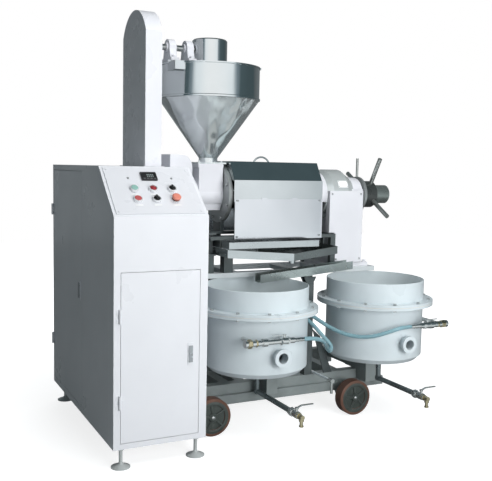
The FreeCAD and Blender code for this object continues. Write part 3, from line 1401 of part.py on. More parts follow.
def oil_trough():
    """Open channel that tips to pour into one drum or the other."""
    w = trough_wall
    y0, y1 = trough_y - trough_width / 2, trough_y + trough_width / 2
    rise = math.tan(math.radians(trough_tilt))
    pivot_bottom = trough_pivot_z + 18.0

    def low(x):
        return pivot_bottom + (x - trough_pivot_x) * rise

    h = trough_height
    outer = [(trough_left, y0, low(trough_left)), (trough_right, y0, low(trough_right)),
             (trough_right, y0, low(trough_right) + h), (trough_left, y0, low(trough_left) + h)]
    inner = [(trough_left - 1, y0 + w, low(trough_left - 1) + w),
             (trough_right + 1, y0 + w, low(trough_right + 1) + w),
             (trough_right + 1, y0 + w, low(trough_right + 1) + h + 1),
             (trough_left - 1, y0 + w, low(trough_left - 1) + h + 1)]
    body = plate(outer, (0, trough_width, 0)).cut(plate(inner, (0, trough_width - 2 * w, 0)))
    lug = plate([(trough_pivot_x - 26, trough_y - 6, low(trough_pivot_x - 26) + 1),
                 (trough_pivot_x + 26, trough_y - 6, low(trough_pivot_x + 26) + 1),
                 (trough_pivot_x + 10, trough_y - 6, trough_pivot_z - 9),
                 (trough_pivot_x - 10, trough_y - 6, trough_pivot_z - 9)], (0, 12, 0))
    bore = rod((trough_pivot_x, trough_y - 10, trough_pivot_z),
               (trough_pivot_x, trough_y + 10, trough_pivot_z), 5 + FIT)
    return fuse([body, lug]).cut(bore)


# Filter drums
def drum_body(drum):
    x = drum["x"]
    w = drum_wall
    top = drum_flange_z + drum_flange_thick
    vessel = turned_z([(drum_bottom, 0), (drum_bottom, drum_radius - drum_chamfer),
                       (drum_bottom + drum_chamfer, drum_radius), (drum_flange_z, drum_radius),
                       (drum_flange_z, drum_flange_radius), (top, drum_flange_radius),
                       (top, drum_radius - w), (drum_bottom + drum_chamfer + 2, drum_radius - w),
                       (drum_bottom + w, drum_radius - drum_chamfer - 2), (drum_bottom + w, 0)], x,
                      drum_centre_y)
    port_x = x + drum["port"]
    front = drum_centre_y - drum_radius - port_reach
    neck = rod((port_x, front, port_z),
               (port_x, drum_centre_y - drum_radius + port_neck_inside, port_z), port_neck_radius)
    flange = rod((port_x, front, port_z), (port_x, front + port_flange_thick, port_z),
                 port_flange_radius)
    bore = rod((port_x, front - 1, port_z), (port_x, drum_centre_y - drum_radius + 40, port_z),
               port_bore_radius)
    port = cut(fuse([neck, flange]), [bore])
    body = vessel.cut(rod((port_x, front, port_z), (port_x, drum_centre_y - drum_radius + 30, port_z),
                          port_neck_radius))
    drain_x = x + drum["drain"]
    hole = rod((drain_x, drum["drop_y"], drum_bottom - 1), (drain_x, drum["drop_y"], drum_bottom + 20),
               drain_pipe_radius - 3)
    side = drum["tee_x"] - x
    wall_y = drum_centre_y - math.sqrt(drum_radius ** 2 - side ** 2)
    suction = rod((drum["tee_x"], wall_y - 10, drum["fitting_z"]),
                  (drum["tee_x"], wall_y + 60, drum["fitting_z"]), 7)
    return group([cut(body, [hole, suction]), port])


def drum_rings():
    pieces = []
    low = drum_flange_z + drum_flange_thick + filter_plate_thick
    for drum in drums.values():
        pieces.append(turned_z([(low, ring_radius - drum_wall), (low, drum_flange_radius),
                                (low + drum_flange_thick, drum_flange_radius),
                                (low + drum_flange_thick, ring_radius), (ring_top - 2, ring_radius),
                                (ring_top, ring_radius - 2), (ring_top, ring_radius - drum_wall)],
                               drum["x"], drum_centre_y))
    return group(pieces)


def filter_plates():
    """Perforated plate with the filter cloth, clamped between the flanges."""
    low = drum_flange_z + drum_flange_thick
    pieces = []
    for drum in drums.values():
        disc = rod((drum["x"], drum_centre_y, low),
                   (drum["x"], drum_centre_y, low + filter_plate_thick), drum_flange_radius - 2)
        pieces.append(disc)
    return group(pieces)


def drum_bolts():
    pieces = []
    pitch_radius = (drum_flange_radius + ring_radius) / 2 + 2
    top = drum_flange_z + 2 * drum_flange_thick + filter_plate_thick
    for drum in drums.values():
        for i in range(drum_bolt_count):
            a = 2 * math.pi * (i + 0.5) / drum_bolt_count
            x, y = drum["x"] + pitch_radius * math.cos(a), drum_centre_y + pitch_radius * math.sin(a)
            pieces.append(Part.makePolygon([V(x + 9 * math.cos(k * math.pi / 3),
                                              y + 9 * math.sin(k * math.pi / 3), top)
                                            for k in range(7)]))
            pieces[-1] = Part.Face(pieces[-1]).extrude(V(0, 0, 8))
            low = Part.makePolygon([V(x + 9 * math.cos(k * math.pi / 3),
                                      y + 9 * math.sin(k * math.pi / 3), drum_flange_z - 8)
                                    for k in range(7)])
            pieces.append(Part.Face(low).extrude(V(0, 0, 8)))
    return group(pieces)


def vacuum_fittings():
    """Brass trains from each drum to its hose, and the receiver where both hoses end."""
    pieces = []
    for drum in drums.values():
        x, s, z = drum["tee_x"], drum["towards"], drum["fitting_z"]
        reach = drum["reach"]
        side = x - drum["x"]
        wall_y = drum_centre_y - math.sqrt(drum_radius ** 2 - side ** 2)
        stub = rod((x, fitting_y, z), (x, wall_y + 6, z), 11)
        stub = stub.cut(rod((drum["x"], drum_centre_y, z - 30), (drum["x"], drum_centre_y, z + 30),
                            drum_radius))
        tee = rod((x - s * 38, fitting_y, z), (x + s * 30, fitting_y, z), 15)
        plug = rod((x - s * 46, fitting_y, z), (x - s * 38, fitting_y, z), 18)
        union = rod((x + s * 30, fitting_y, z), (x + s * (reach - 130), fitting_y, z), fitting_radius)
        collar = rod((x + s * 44, fitting_y, z), (x + s * 66, fitting_y, z), 19)
        ball = turned([(0, 0), (0, 14), (12, 17), (40, 17), (52, 14), (52, 0)],
                      (x + s * (reach - 130), fitting_y, z), (s, 0, 0), (0, 0, 1))
        stem = rod((x + s * (reach - 104), fitting_y, z), (x + s * (reach - 104), fitting_y, z + 24), 6)
        tail = rod((x + s * (reach - 78), fitting_y, z), (x + s * (reach - 56), fitting_y, z), 14)
        barb = turned([(0, 0), (0, 8), (0, 11), (18, 9), (18, 11), (36, 9), (36, 11), (56, 8.5),
                       (56, 0)], (x + s * (reach - 56), fitting_y, z), (s, 0, 0), (0, 0, 1))
        pieces.append(fuse([stub, tee, plug, union, collar, ball, stem, tail, barb]))
    x, y = receiver_x, receiver_y
    pot = turned_z([(receiver_bottom, 0), (receiver_bottom, receiver_radius - 12),
                    (receiver_bottom + 12, receiver_radius), (receiver_top - 12, receiver_radius),
                    (receiver_top, receiver_radius - 12), (receiver_top, 0)], x, y)
    post_back = trough_y + trough_post_width / 2
    strap = box(x + 16, trough_pivot_x, post_back, y - receiver_radius + 20, receiver_bottom + 110,
                receiver_bottom + 150)
    barbs = [rod((bx, hose_barb_y, bz), (bx, y, bz), 9) for bx, bz in hose_barbs]
    pieces.append(fuse([pot, strap] + barbs))
    low = base_top + 12.0
    drain = [rod((x, y, low), (x, y, receiver_bottom + 6), 7), Part.makeSphere(9.5, V(x, y, low)),
             rod((x, y, low), (small_drain_x, y, low), 6), Part.makeSphere(9, V(small_drain_x, y, low)),
             rod((small_drain_x, y, low), (small_drain_x, small_drain_y, low), 6.5),
             rod((small_drain_x, small_drain_y, low), (small_drain_x, small_drain_y - 34, low), 11),
             rod((small_drain_x, small_drain_y - 24, low),
                 (small_drain_x, small_drain_y - 24, low - 66), 7)]
    pieces[-1] = fuse([pieces[-1]] + drain)
    return group(pieces)


def vacuum_lever(drum):
    x, s, z = drum["tee_x"], drum["towards"], drum["fitting_z"]
    pivot = x + s * (drum["reach"] - 104)
    top = z + 24 + GAP
    boss = rod((pivot, fitting_y, top), (pivot, fitting_y, top + 7), 8)
    arm = box(min(pivot, pivot - s * lever_length), max(pivot, pivot - s * lever_length), fitting_y - 5,
              fitting_y + 5, top + 2, top + 5)
    return boss.fuse(arm)


def drain_valve_y():
    return drain_end_y - 30.0


def drain_pipes():
    """Outlet pipe of each drum, with its ball valve and spout."""
    pieces = []
    for drum in drums.values():
        x = drum["x"] + drum["drain"]
        r = drain_pipe_radius
        drop = rod((x, drum["drop_y"], drain_z), (x, drum["drop_y"], drum_bottom), r)
        elbow = Part.makeSphere(r + 4, V(x, drum["drop_y"], drain_z))
        run = rod((x, drum["drop_y"], drain_z), (x, drain_end_y, drain_z), r)
        union = rod((x, drain_end_y + 26, drain_z), (x, drain_end_y, drain_z), r + 5)
        valve_y = drain_valve_y()
        valve = turned([(0, 0), (0, 15), (14, valve_body_radius), (44, valve_body_radius), (58, 13),
                        (58, 0)], (x, drain_end_y, drain_z), (0, -1, 0), (0, 0, 1))
        stem = rod((x, valve_y, drain_z), (x, valve_y, drain_z + 26), 6)
        nozzle = rod((x, drain_end_y - 56, drain_z), (x, drain_end_y - drain_reach, drain_z), 11)
        spout_y = drain_end_y - 74
        boss = rod((x, spout_y, drain_z), (x, spout_y, drain_z - spout_boss), spout_radius + 3)
        spout = rod((x, spout_y, drain_z), (x, spout_y, drain_z - spout_boss - spout_length),
                    spout_radius)
        pieces.append(fuse([drop, elbow, run, union, valve, stem, nozzle, boss, spout]))
    return group(pieces)


def drain_lever(drum):
    x = drum["x"] + drum["drain"]
    y = drain_valve_y()
    top = drain_z + 26 + GAP
    boss = rod((x, y, top), (x, y, top + 8), 9)
    slope = plate([(x, y - 6, top + 2), (x + 26, y - 6, top + 12),
                   (x + lever_length + 26, y - 6, top + 12), (x + lever_length + 26, y - 6, top + 16),
                   (x + 24, y - 6, top + 16), (x, y - 6, top + 6)], (0, 12, 0))
    return boss.fuse(slope)


# Hoses: points chosen by hand along the route of each one
left_hose_route = [(897, -50, 505), (942, -50, 505), (1000, -36, 490), (1052, 10, 458), (1118, 92, 404),
                   (1170, 140, 374), (1190, 160, 402), (1147, 185, 451), (1116, 234, 505),
                   (1090, 310, 540), (1090, 380, 540)]
right_hose_route = [(1122, 380, 556), (1122, 312, 556), (1146, 238, 526), (1198, 160, 482),
                    (1262, 86, 458), (1330, 20, 462), (1392, -28, 490), (1462, -50, 515),
                    (1522, -50, 515)]


def hose(name, route):
    """Tube of straight runs joined by the largest arcs that the runs allow."""
    points = [V(*p) for p in route]
    edges = []
    start = points[0]
    radii = []
    for before, corner, after in zip(points, points[1:], points[2:]):
        back, ahead = (before - corner), (after - corner)
        turn = math.pi - back.getAngle(ahead)
        leg = 0.45 * min(back.Length, ahead.Length)
        radius = leg / math.tan(turn / 2)
        radii.append(round(radius))
        back.normalize()
        ahead.normalize()
        first, last = corner + back * leg, corner + ahead * leg
        bisector = (back + ahead).normalize()
        middle = corner + bisector * (radius / math.cos(turn / 2) - radius)
        edges.append(Part.LineSegment(start, first).toShape())
        edges.append(Part.Arc(first, middle, last).toShape())
        start = last
    edges.append(Part.LineSegment(start, points[-1]).toShape())
    path = Part.Wire(edges)
    way = points[1] - points[0]
    ring = Part.Wire(Part.makeCircle(hose_radius, points[0], way))
    tube = path.makePipeShell([ring], True, True)
    share = tube.Volume / (math.pi * hose_radius ** 2 * path.Length)
    print(name, "length", round(path.Length), "radii", radii, "volume share", round(share, 4))
    return tube


# Wheels
def wheel_set(x):
    """Two wheels fixed on one axle across the base."""
    axle = rod((x, wheel_front + 6, wheel_radius), (x, wheel_back - 6, wheel_radius), axle_radius)
    pieces = [axle]
    for y in (wheel_front, wheel_back - wheel_width):
        w = wheel_width
        pieces.append(turned([(0, 0), (0, 20), (6, 24), (6, 60), (2, 68), (0, wheel_radius - 10),
                              (4, wheel_radius), (w - 4, wheel_radius), (w, wheel_radius - 10),
                              (w - 2, 68), (w - 6, 60), (w - 6, 24), (w, 20), (w, 0)],
                             (x, y, wheel_radius), (0, 1, 0), (0, 0, 1)))
    return fuse(pieces)


nodes = {
    "cabinet_shell": cabinet_shell(),
    "cabinet_hinges": cabinet_hinges(),
    "levelling_feet": levelling_feet(),
    "control_panel": control_panel(),
    "temperature_controller": temperature_controller(),
    "panel_bezels": panel_bezels(),
    "electrical_plate": electrical_plate(),
    "front_door": front_door(),
    "front_door_lock": door_lock("front"),
    "side_door": side_door(),
    "side_door_lock": door_lock("side"),
    "green_button": push_button(button_columns[0], upper_row),
    "red_button": push_button(button_columns[0], lower_row),
    "mode_selector": selector(button_columns[2], upper_row),
    "heater_selector": selector(button_columns[1], lower_row),
    "emergency_stop": emergency_stop(),
    "belt_guard": belt_guard(),
    "v_belts": v_belts(),
    "motor": motor(),
    "motor_pulley": motor_pulley(),
    "input_pulleys": input_pulleys(),
    "gearbox": gearbox(),
    "bearing_bracket": bearing_bracket(),
    "feeder_shaft": feeder_shaft(),
    "feed_auger": feed_auger(),
    "gear_cover": gear_cover(),
    "hopper": hopper(),
    "feed_throat": feed_throat(),
    "cage_flange": cage_flange(),
    "press_cage": press_cage(),
    "press_worm": press_worm(),
    "cake_outlet": cake_outlet(),
    "side_covers": side_covers(),
    "front_cover": front_cover(),
    "cage_hood": cage_hood(),
    "end_pedestal": end_pedestal(),
    "choke_sleeve": choke_sleeve(),
    "lock_ring": lock_ring(),
    "adjusting_nut": adjusting_nut(),
    "press_frame": press_frame(),
    "frame_posts": frame_posts(),
    "base_frame": base_frame(),
    "oil_pan": oil_pan(),
    "residue_tray": residue_tray(),
    "oil_trough": oil_trough(),
    "left_drum": drum_body(drums["left"]),
    "right_drum": drum_body(drums["right"]),
    "drum_rings": drum_rings(),
    "filter_plates": filter_plates(),
    "drum_bolts": drum_bolts(),
    "vacuum_fittings": vacuum_fittings(),
    "left_vacuum_lever": vacuum_lever(drums["left"]),
    "right_vacuum_lever": vacuum_lever(drums["right"]),
    "drain_pipes": drain_pipes(),
    "left_drain_lever": drain_lever(drums["left"]),
    "right_drain_lever": drain_lever(drums["right"]),
    "left_hose": hose("left hose", left_hose_route),
    "right_hose": hose("right hose", right_hose_route),
    "left_wheels": wheel_set(wheel_positions[0]),
    "right_wheels": wheel_set(wheel_positions[1]),
}

os.makedirs("parts", exist_ok=True)
for name, shape in nodes.items():
    shape.translate(V(-middle_x, -middle_y, 0))
    shape.exportStep("parts/" + name + ".step")
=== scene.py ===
import math
import bmesh
import bpy
from mathutils import Matrix, Vector


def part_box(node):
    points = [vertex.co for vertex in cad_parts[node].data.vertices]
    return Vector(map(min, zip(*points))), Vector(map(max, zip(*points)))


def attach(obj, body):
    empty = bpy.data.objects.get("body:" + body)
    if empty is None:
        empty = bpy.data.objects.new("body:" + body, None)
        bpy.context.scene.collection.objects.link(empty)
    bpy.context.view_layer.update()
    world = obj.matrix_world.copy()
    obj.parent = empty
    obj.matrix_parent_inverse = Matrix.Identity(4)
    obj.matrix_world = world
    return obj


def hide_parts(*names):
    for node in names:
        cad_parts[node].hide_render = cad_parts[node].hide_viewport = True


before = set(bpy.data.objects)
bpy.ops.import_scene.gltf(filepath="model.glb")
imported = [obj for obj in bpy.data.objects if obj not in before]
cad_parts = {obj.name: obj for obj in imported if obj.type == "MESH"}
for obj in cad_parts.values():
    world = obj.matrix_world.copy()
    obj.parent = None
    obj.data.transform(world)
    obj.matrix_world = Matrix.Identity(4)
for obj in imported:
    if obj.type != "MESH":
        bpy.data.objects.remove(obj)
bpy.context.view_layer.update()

# Machine coordinates in millimetres start at the cabinet's front left corner on the floor
cabinet_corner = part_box("cabinet_shell")[0]
ORIGIN = Vector((-cabinet_corner[0] * 1000, -cabinet_corner[1] * 1000, 0.0))


def at(x, y, z):
    return (Vector((x, y, z)) - ORIGIN) / 1000


# Camera fitted to the photograph: place in machine millimetres, angles in degrees, and the focal
# length in the photograph's pixels
CAMERA_PLACE = (-891, -3008, 1296)
CAMERA_YAW, CAMERA_PITCH, CAMERA_ROLL = 26.5146, 5.5592, 1.1649
FOCAL_PIXELS, PICTURE_WIDTH, SENSOR_WIDTH = 751.8, 492, 36


def set_camera():
    yaw, pitch, roll = (math.radians(a) for a in (CAMERA_YAW, CAMERA_PITCH, CAMERA_ROLL))
    forward = Vector((math.sin(yaw) * math.cos(pitch), math.cos(yaw) * math.cos(pitch),
                      -math.sin(pitch)))
    right = Vector((math.cos(yaw), -math.sin(yaw), 0))
    up = right.cross(forward)
    x = right * math.cos(roll) + up * math.sin(roll)
    y = up * math.cos(roll) - right * math.sin(roll)
    data = bpy.data.cameras.new("view")
    data.sensor_width = SENSOR_WIDTH
    data.sensor_fit = "HORIZONTAL"
    data.lens = SENSOR_WIDTH * FOCAL_PIXELS / PICTURE_WIDTH
    data.clip_end = 50
    camera = bpy.data.objects.new("view", data)
    bpy.context.scene.collection.objects.link(camera)
    place = at(*CAMERA_PLACE)
    camera.matrix_world = Matrix(((x.x, y.x, -forward.x, place.x), (x.y, y.y, -forward.y, place.y),
                                  (x.z, y.z, -forward.z, place.z), (0, 0, 0, 1)))
    bpy.context.scene.camera = camera


set_camera()


# Places in machine millimetres
PRESS_Y, PRESS_Z = 607, 1155
GUARD_LEFT, GUARD_RIGHT = 267, 371
CONE_TOP = 1638
PAN_OUTLET_X = 1062
PILLOW_BLOCK_BOTTOM = 1815
TABLE_TOP = 757
HOUSING_RADIUS, HOUSING_RIGHT = 139, 1534
NUT_HUB_RADIUS, LOCK_RING_RADIUS = 77, 101
SLEEVE_TIP_X = 1812
WHEEL_SETS = (("left_wheels", 555), ("right_wheels", 1377))
WHEEL_FACES = ((200, -1), (1014, 1))
WHEEL_Z = 92.5
IRON_RADIUS, AXLE_END_RADIUS = 60, 17
DRAIN_COLUMNS = (840, 1565)
DRAIN_Z = 165
UNION_Y, VALVE_Y, SPOUT_Y = -41, -112, -142
FITTING_Y, RECEIVER_FRONT = -50, 200
VACUUM_TRAINS = ((635, 505, 1, 262), (1704, 515, -1, 182))

# Control panel: columns along X, rows up the slanted plate, heights above it
PANEL_TILT = math.radians(41.17)
PANEL_BASE = 1081
PANEL_NORMAL = (0, -math.sin(PANEL_TILT), math.cos(PANEL_TILT))
COLUMNS = (125, 210, 298)
UPPER_ROW, LOWER_ROW = 163, 98
LABEL_DROP = 32
LAMP_RADIUS = 11.5
PLUG_COLUMNS, PLUG_ROW = (113, 315), 234.6
CONTROLLER_ROW = 243
PLATE, BEZEL, TRAVEL = 4.0, 5.0, 4.0


# Materials
def socket(node, *names):
    for name in names:
        if name in node.inputs:
            return node.inputs[name]
    raise KeyError(names)


def material(name, color, rough=0.5, metal=0.0, spread=0.06, tone_scale=3.0, grain=900.0,
             grain_depth=0.0, wave=0.0, wave_scale=4.0, rough_spread=0.08, stretch=(1, 1, 1),
             dirt=0.0, dirt_color=(0.1, 0.09, 0.08), clear=0.0, round_edges=0.0, glow=0.0):
    """Procedural surface: colour drift, roughness drift, grain, waviness and settled dirt."""
    m = bpy.data.materials.new(name)
    m.use_nodes = True
    tree = m.node_tree
    nodes, links = tree.nodes, tree.links
    shader = nodes["Principled BSDF"]
    socket(shader, "Metallic").default_value = metal
    if clear:
        socket(shader, "Coat Weight").default_value = clear
        socket(shader, "Coat Roughness").default_value = 0.12
    place = nodes.new("ShaderNodeTexCoord").outputs["Object"]
    mapping = nodes.new("ShaderNodeMapping")
    mapping.inputs["Scale"].default_value = stretch
    links.new(place, mapping.inputs["Vector"])

    def noise(scale, detail=3.0, vector=mapping.outputs["Vector"]):
        n = nodes.new("ShaderNodeTexNoise")
        n.inputs["Scale"].default_value = scale
        n.inputs["Detail"].default_value = detail
        links.new(vector, n.inputs["Vector"])
        return n.outputs["Fac"]

    def remap(value, low, high, out_low, out_high):
        r = nodes.new("ShaderNodeMapRange")
        for key, number in (("From Min", low), ("From Max", high), ("To Min", out_low),
                            ("To Max", out_high)):
            r.inputs[key].default_value = number
        links.new(value, r.inputs["Value"])
        return r.outputs["Result"]

    ramp = nodes.new("ShaderNodeValToRGB")
    lighter = [min(1.0, c * (1 + spread)) for c in color] + [1]
    darker = [c * (1 - spread) for c in color] + [1]
    ramp.color_ramp.elements[0].position = 0.3
    ramp.color_ramp.elements[0].color = darker
    ramp.color_ramp.elements[1].position = 0.7
    ramp.color_ramp.elements[1].color = lighter
    links.new(noise(tone_scale, 5.0, place), ramp.inputs["Fac"])
    tone = ramp.outputs["Color"]
    if dirt:
        mix = nodes.new("ShaderNodeMix")
        mix.data_type = "RGBA"
        links.new(remap(noise(tone_scale * 2.3, 9.0, place), 0.52, 0.78, 0.0, dirt),
                  mix.inputs["Factor"])
        links.new(tone, mix.inputs["A"])
        mix.inputs["B"].default_value = tuple(dirt_color) + (1,)
        tone = mix.outputs["Result"]
    links.new(tone, shader.inputs["Base Color"])
    links.new(remap(noise(tone_scale * 1.7, 6.0), 0.3, 0.7, max(0.02, rough - rough_spread),
                    rough + rough_spread), shader.inputs["Roughness"])
    normal = None
    if round_edges:
        bevel = nodes.new("ShaderNodeBevel")
        bevel.samples = 4
        bevel.inputs["Radius"].default_value = round_edges
        normal = bevel.outputs["Normal"]
    for scale, depth, detail in ((wave_scale, wave, 2.0), (grain, grain_depth, 2.0)):
        if depth:
            bump = nodes.new("ShaderNodeBump")
            bump.inputs["Distance"].default_value = depth
            bump.inputs["Strength"].default_value = 1.0
            links.new(noise(scale, detail), bump.inputs["Height"])
            if normal is not None:
                links.new(normal, bump.inputs["Normal"])
            normal = bump.outputs["Normal"]
    if normal is not None:
        links.new(normal, shader.inputs["Normal"])
    if glow:
        socket(shader, "Emission Color").default_value = tuple(color) + (1,)
        socket(shader, "Emission Strength").default_value = glow
    return m


cabinet_paint = material("cabinet_paint", (0.69, 0.705, 0.74), 0.34, spread=0.03, grain=700,
                         grain_depth=0.00006, wave=0.0008, wave_scale=2.5, clear=0.25, dirt=0.10,
                         dirt_color=(0.48, 0.49, 0.51))
guard_paint = material("guard_paint", (0.68, 0.69, 0.73), 0.30, spread=0.03, grain=700,
                       grain_depth=0.00006, wave=0.001, wave_scale=3, clear=0.35, dirt=0.08,
                       dirt_color=(0.5, 0.51, 0.53))
# Painted shade: a darker copy of the guard paint for the belt guard's two sides, standing in for
# the shade they fall in
guard_painted_shade = material("guard_painted_shade", (0.46, 0.50, 0.51), 0.34, spread=0.04, grain=700,
                      grain_depth=0.00006, wave=0.001, wave_scale=3, clear=0.25, dirt=0.10,
                      dirt_color=(0.36, 0.39, 0.40))
panel_paint = material("panel_paint", (0.66, 0.675, 0.71), 0.30, spread=0.03, grain=700,
                       grain_depth=0.00006, wave=0.001, wave_scale=3, clear=0.3, dirt=0.08,
                       dirt_color=(0.45, 0.46, 0.48))
frame_paint = material("frame_paint", (0.052, 0.064, 0.066), 0.34, spread=0.16, grain=500,
                       grain_depth=0.00012, clear=0.3, dirt=0.30, dirt_color=(0.20, 0.22, 0.21),
                       round_edges=0.0015)
base_paint = material("base_paint", (0.22, 0.25, 0.25), 0.34, spread=0.12, grain=500,
                      grain_depth=0.00012, clear=0.3, dirt=0.40, dirt_color=(0.07, 0.08, 0.08),
                      round_edges=0.0015)
table_paint = material("table_paint", (0.52, 0.56, 0.58), 0.36, spread=0.08, grain=500,
                       grain_depth=0.00012, clear=0.3, dirt=0.30, dirt_color=(0.30, 0.33, 0.34),
                       round_edges=0.0015)
drum_paint = material("drum_paint", (0.58, 0.645, 0.675), 0.34, spread=0.04, grain=600,
                      grain_depth=0.00008, wave=0.0008, wave_scale=5, clear=0.3, dirt=0.18,
                      dirt_color=(0.36, 0.41, 0.43))
cast_paint = material("cast_paint", (0.66, 0.67, 0.71), 0.36, spread=0.04, grain=260,
                      grain_depth=0.0003, clear=0.25, dirt=0.12, dirt_color=(0.44, 0.45, 0.47),
                      round_edges=0.004)
dark_cast = material("dark_cast", (0.13, 0.14, 0.145), 0.42, spread=0.12, grain=260,
                     grain_depth=0.0004, dirt=0.3, dirt_color=(0.26, 0.27, 0.27), round_edges=0.003)
grey_cast = material("grey_cast", (0.34, 0.36, 0.36), 0.34, 0.6, spread=0.12, grain=260,
                     grain_depth=0.0003, dirt=0.3, dirt_color=(0.18, 0.19, 0.19), round_edges=0.002)
black_paint = material("black_paint", (0.030, 0.034, 0.033), 0.30, spread=0.2, grain=400,
                       grain_depth=0.00015, clear=0.2, dirt=0.35, dirt_color=(0.11, 0.115, 0.11),
                       round_edges=0.002)
stainless = material("stainless", (0.74, 0.77, 0.78), 0.13, 1.0, spread=0.03, grain=900,
                     grain_depth=0.00002, wave=0.003, wave_scale=2.2, rough_spread=0.05, dirt=0.10,
                     dirt_color=(0.48, 0.52, 0.52))
hood_steel = material("hood_steel", (0.66, 0.71, 0.72), 0.10, 1.0, spread=0.05, grain=900,
                      grain_depth=0.00002, wave=0.009, wave_scale=5.0, rough_spread=0.05, dirt=0.15,
                      dirt_color=(0.36, 0.42, 0.42))
cover_steel = material("cover_steel", (0.82, 0.83, 0.86), 0.12, 1.0, spread=0.03, grain=900,
                       grain_depth=0.00002, wave=0.003, wave_scale=2.0, rough_spread=0.04,
                       dirt=0.08, dirt_color=(0.55, 0.58, 0.60))
brushed = material("brushed", (0.66, 0.69, 0.70), 0.24, 1.0, spread=0.05, grain=400,
                   grain_depth=0.00004, wave=0.003, wave_scale=3.0, rough_spread=0.08, dirt=0.25,
                   dirt_color=(0.30, 0.33, 0.34))
dark_steel = material("dark_steel", (0.20, 0.22, 0.22), 0.30, 1.0, spread=0.15, grain=400,
                      grain_depth=0.00006, wave=0.003, wave_scale=5.0, rough_spread=0.1, dirt=0.3,
                      dirt_color=(0.10, 0.11, 0.11))
trough_steel = material("trough_steel", (0.44, 0.49, 0.48), 0.28, 0.9, spread=0.12, grain=200,
                        grain_depth=0.00006, wave=0.004, wave_scale=5.0, rough_spread=0.1, dirt=0.3,
                        dirt_color=(0.20, 0.23, 0.22))
steel = material("steel", (0.60, 0.61, 0.60), 0.24, 1.0, spread=0.08, grain=500,
                 grain_depth=0.00006, rough_spread=0.08, dirt=0.15, dirt_color=(0.34, 0.33, 0.30))
pipe_steel = material("pipe_steel", (0.24, 0.28, 0.29), 0.30, 0.75, spread=0.15, grain=400,
                      grain_depth=0.0001, rough_spread=0.1, dirt=0.35,
                      dirt_color=(0.12, 0.13, 0.13))
housing_metal = material("housing_metal", (0.62, 0.66, 0.66), 0.20, 0.45, spread=0.06, grain=300,
                         grain_depth=0.0002, wave=0.003, wave_scale=7, rough_spread=0.08, dirt=0.25,
                         dirt_color=(0.34, 0.38, 0.37), clear=0.3)
hopper_steel = material("hopper_steel", (0.74, 0.78, 0.79), 0.11, 1.0, spread=0.03, grain=900,
                        grain_depth=0.00002, wave=0.022, wave_scale=5.0, stretch=(1, 1, 0.14),
                        rough_spread=0.05, dirt=0.12, dirt_color=(0.46, 0.51, 0.51))
cone_steel = material("cone_steel", (0.80, 0.84, 0.85), 0.17, 0.84, spread=0.06, grain=900,
                      grain_depth=0.00002, wave=0.030, wave_scale=6.0, stretch=(1, 1, 0.10),
                      rough_spread=0.07, dirt=0.20, dirt_color=(0.40, 0.46, 0.46))
foot_steel = material("foot_steel", (0.50, 0.53, 0.53), 0.32, 0.2, spread=0.10, grain=400,
                      grain_depth=0.0001, dirt=0.3, dirt_color=(0.28, 0.30, 0.30))
lock_metal = material("lock_metal", (0.34, 0.36, 0.38), 0.30, 0.5, spread=0.08, grain=500,
                      grain_depth=0.00006, dirt=0.2, dirt_color=(0.18, 0.19, 0.20))
bar_steel = material("bar_steel", (0.56, 0.58, 0.56), 0.30, 0.9, spread=0.12, grain=500,
                     grain_depth=0.0001, rough_spread=0.1, dirt=0.3, dirt_color=(0.22, 0.23, 0.21))
sleeve_steel = material("sleeve_steel", (0.22, 0.25, 0.24), 0.28, 0.7, spread=0.15, grain=500,
                        grain_depth=0.0001, rough_spread=0.1, dirt=0.3,
                        dirt_color=(0.30, 0.31, 0.30))
cage_steel = material("cage_steel", (0.17, 0.165, 0.16), 0.45, 1.0, spread=0.25, grain=260,
                      grain_depth=0.0003, dirt=0.35, dirt_color=(0.05, 0.04, 0.03))
bright = material("bright", (0.80, 0.80, 0.81), 0.14, 1.0, spread=0.03, grain=900,
                  grain_depth=0.00001, rough_spread=0.04)
chrome_pipe = material("chrome_pipe", (0.74, 0.75, 0.74), 0.18, 1.0, spread=0.05, grain=600,
                       grain_depth=0.00004, rough_spread=0.06, dirt=0.2,
                       dirt_color=(0.40, 0.40, 0.37))
brass = material("brass", (0.64, 0.56, 0.37), 0.24, 1.0, spread=0.12, tone_scale=14, grain=500,
                 grain_depth=0.0001, rough_spread=0.08, dirt=0.3, dirt_color=(0.26, 0.22, 0.13))
black_plastic = material("black_plastic", (0.018, 0.018, 0.019), 0.34, spread=0.15, grain=900,
                         grain_depth=0.00006)
green_plastic = material("green_plastic", (0.26, 0.46, 0.41), 0.22, spread=0.1, grain=500,
                         grain_depth=0.00003, clear=0.5)
red_plastic = material("red_plastic", (0.46, 0.10, 0.10), 0.24, spread=0.1, grain=500,
                       grain_depth=0.00003, clear=0.5)
stop_plastic = material("stop_plastic", (0.64, 0.22, 0.16), 0.26, spread=0.1, grain=500,
                        grain_depth=0.00003, clear=0.4)
lamp_red = material("lamp_red", (0.26, 0.028, 0.035), 0.14, spread=0.2, tone_scale=60, grain=300,
                    grain_depth=0.0002, clear=0.8, glow=0.04)
rubber = material("rubber", (0.02, 0.02, 0.02), 0.7, spread=0.2, grain=400, grain_depth=0.0002)
tread = material("tread", (0.12, 0.060, 0.042), 0.5, spread=0.18, tone_scale=12, grain=300,
                 grain_depth=0.0003, dirt=0.35, dirt_color=(0.12, 0.10, 0.09))
wheel_iron = material("wheel_iron", (0.045, 0.055, 0.050), 0.34, spread=0.2, tone_scale=12,
                      grain=260, grain_depth=0.0003, clear=0.3, dirt=0.35,
                      dirt_color=(0.13, 0.14, 0.13), round_edges=0.0015)
cloth = material("cloth", (0.66, 0.67, 0.65), 0.85, spread=0.05, grain=700, grain_depth=0.0005,
                 dirt=0.2, dirt_color=(0.5, 0.47, 0.38))
plate_metal = material("plate_metal", (0.80, 0.81, 0.83), 0.26, 0.4, spread=0.06, tone_scale=30,
                       grain=700, grain_depth=0.00004)
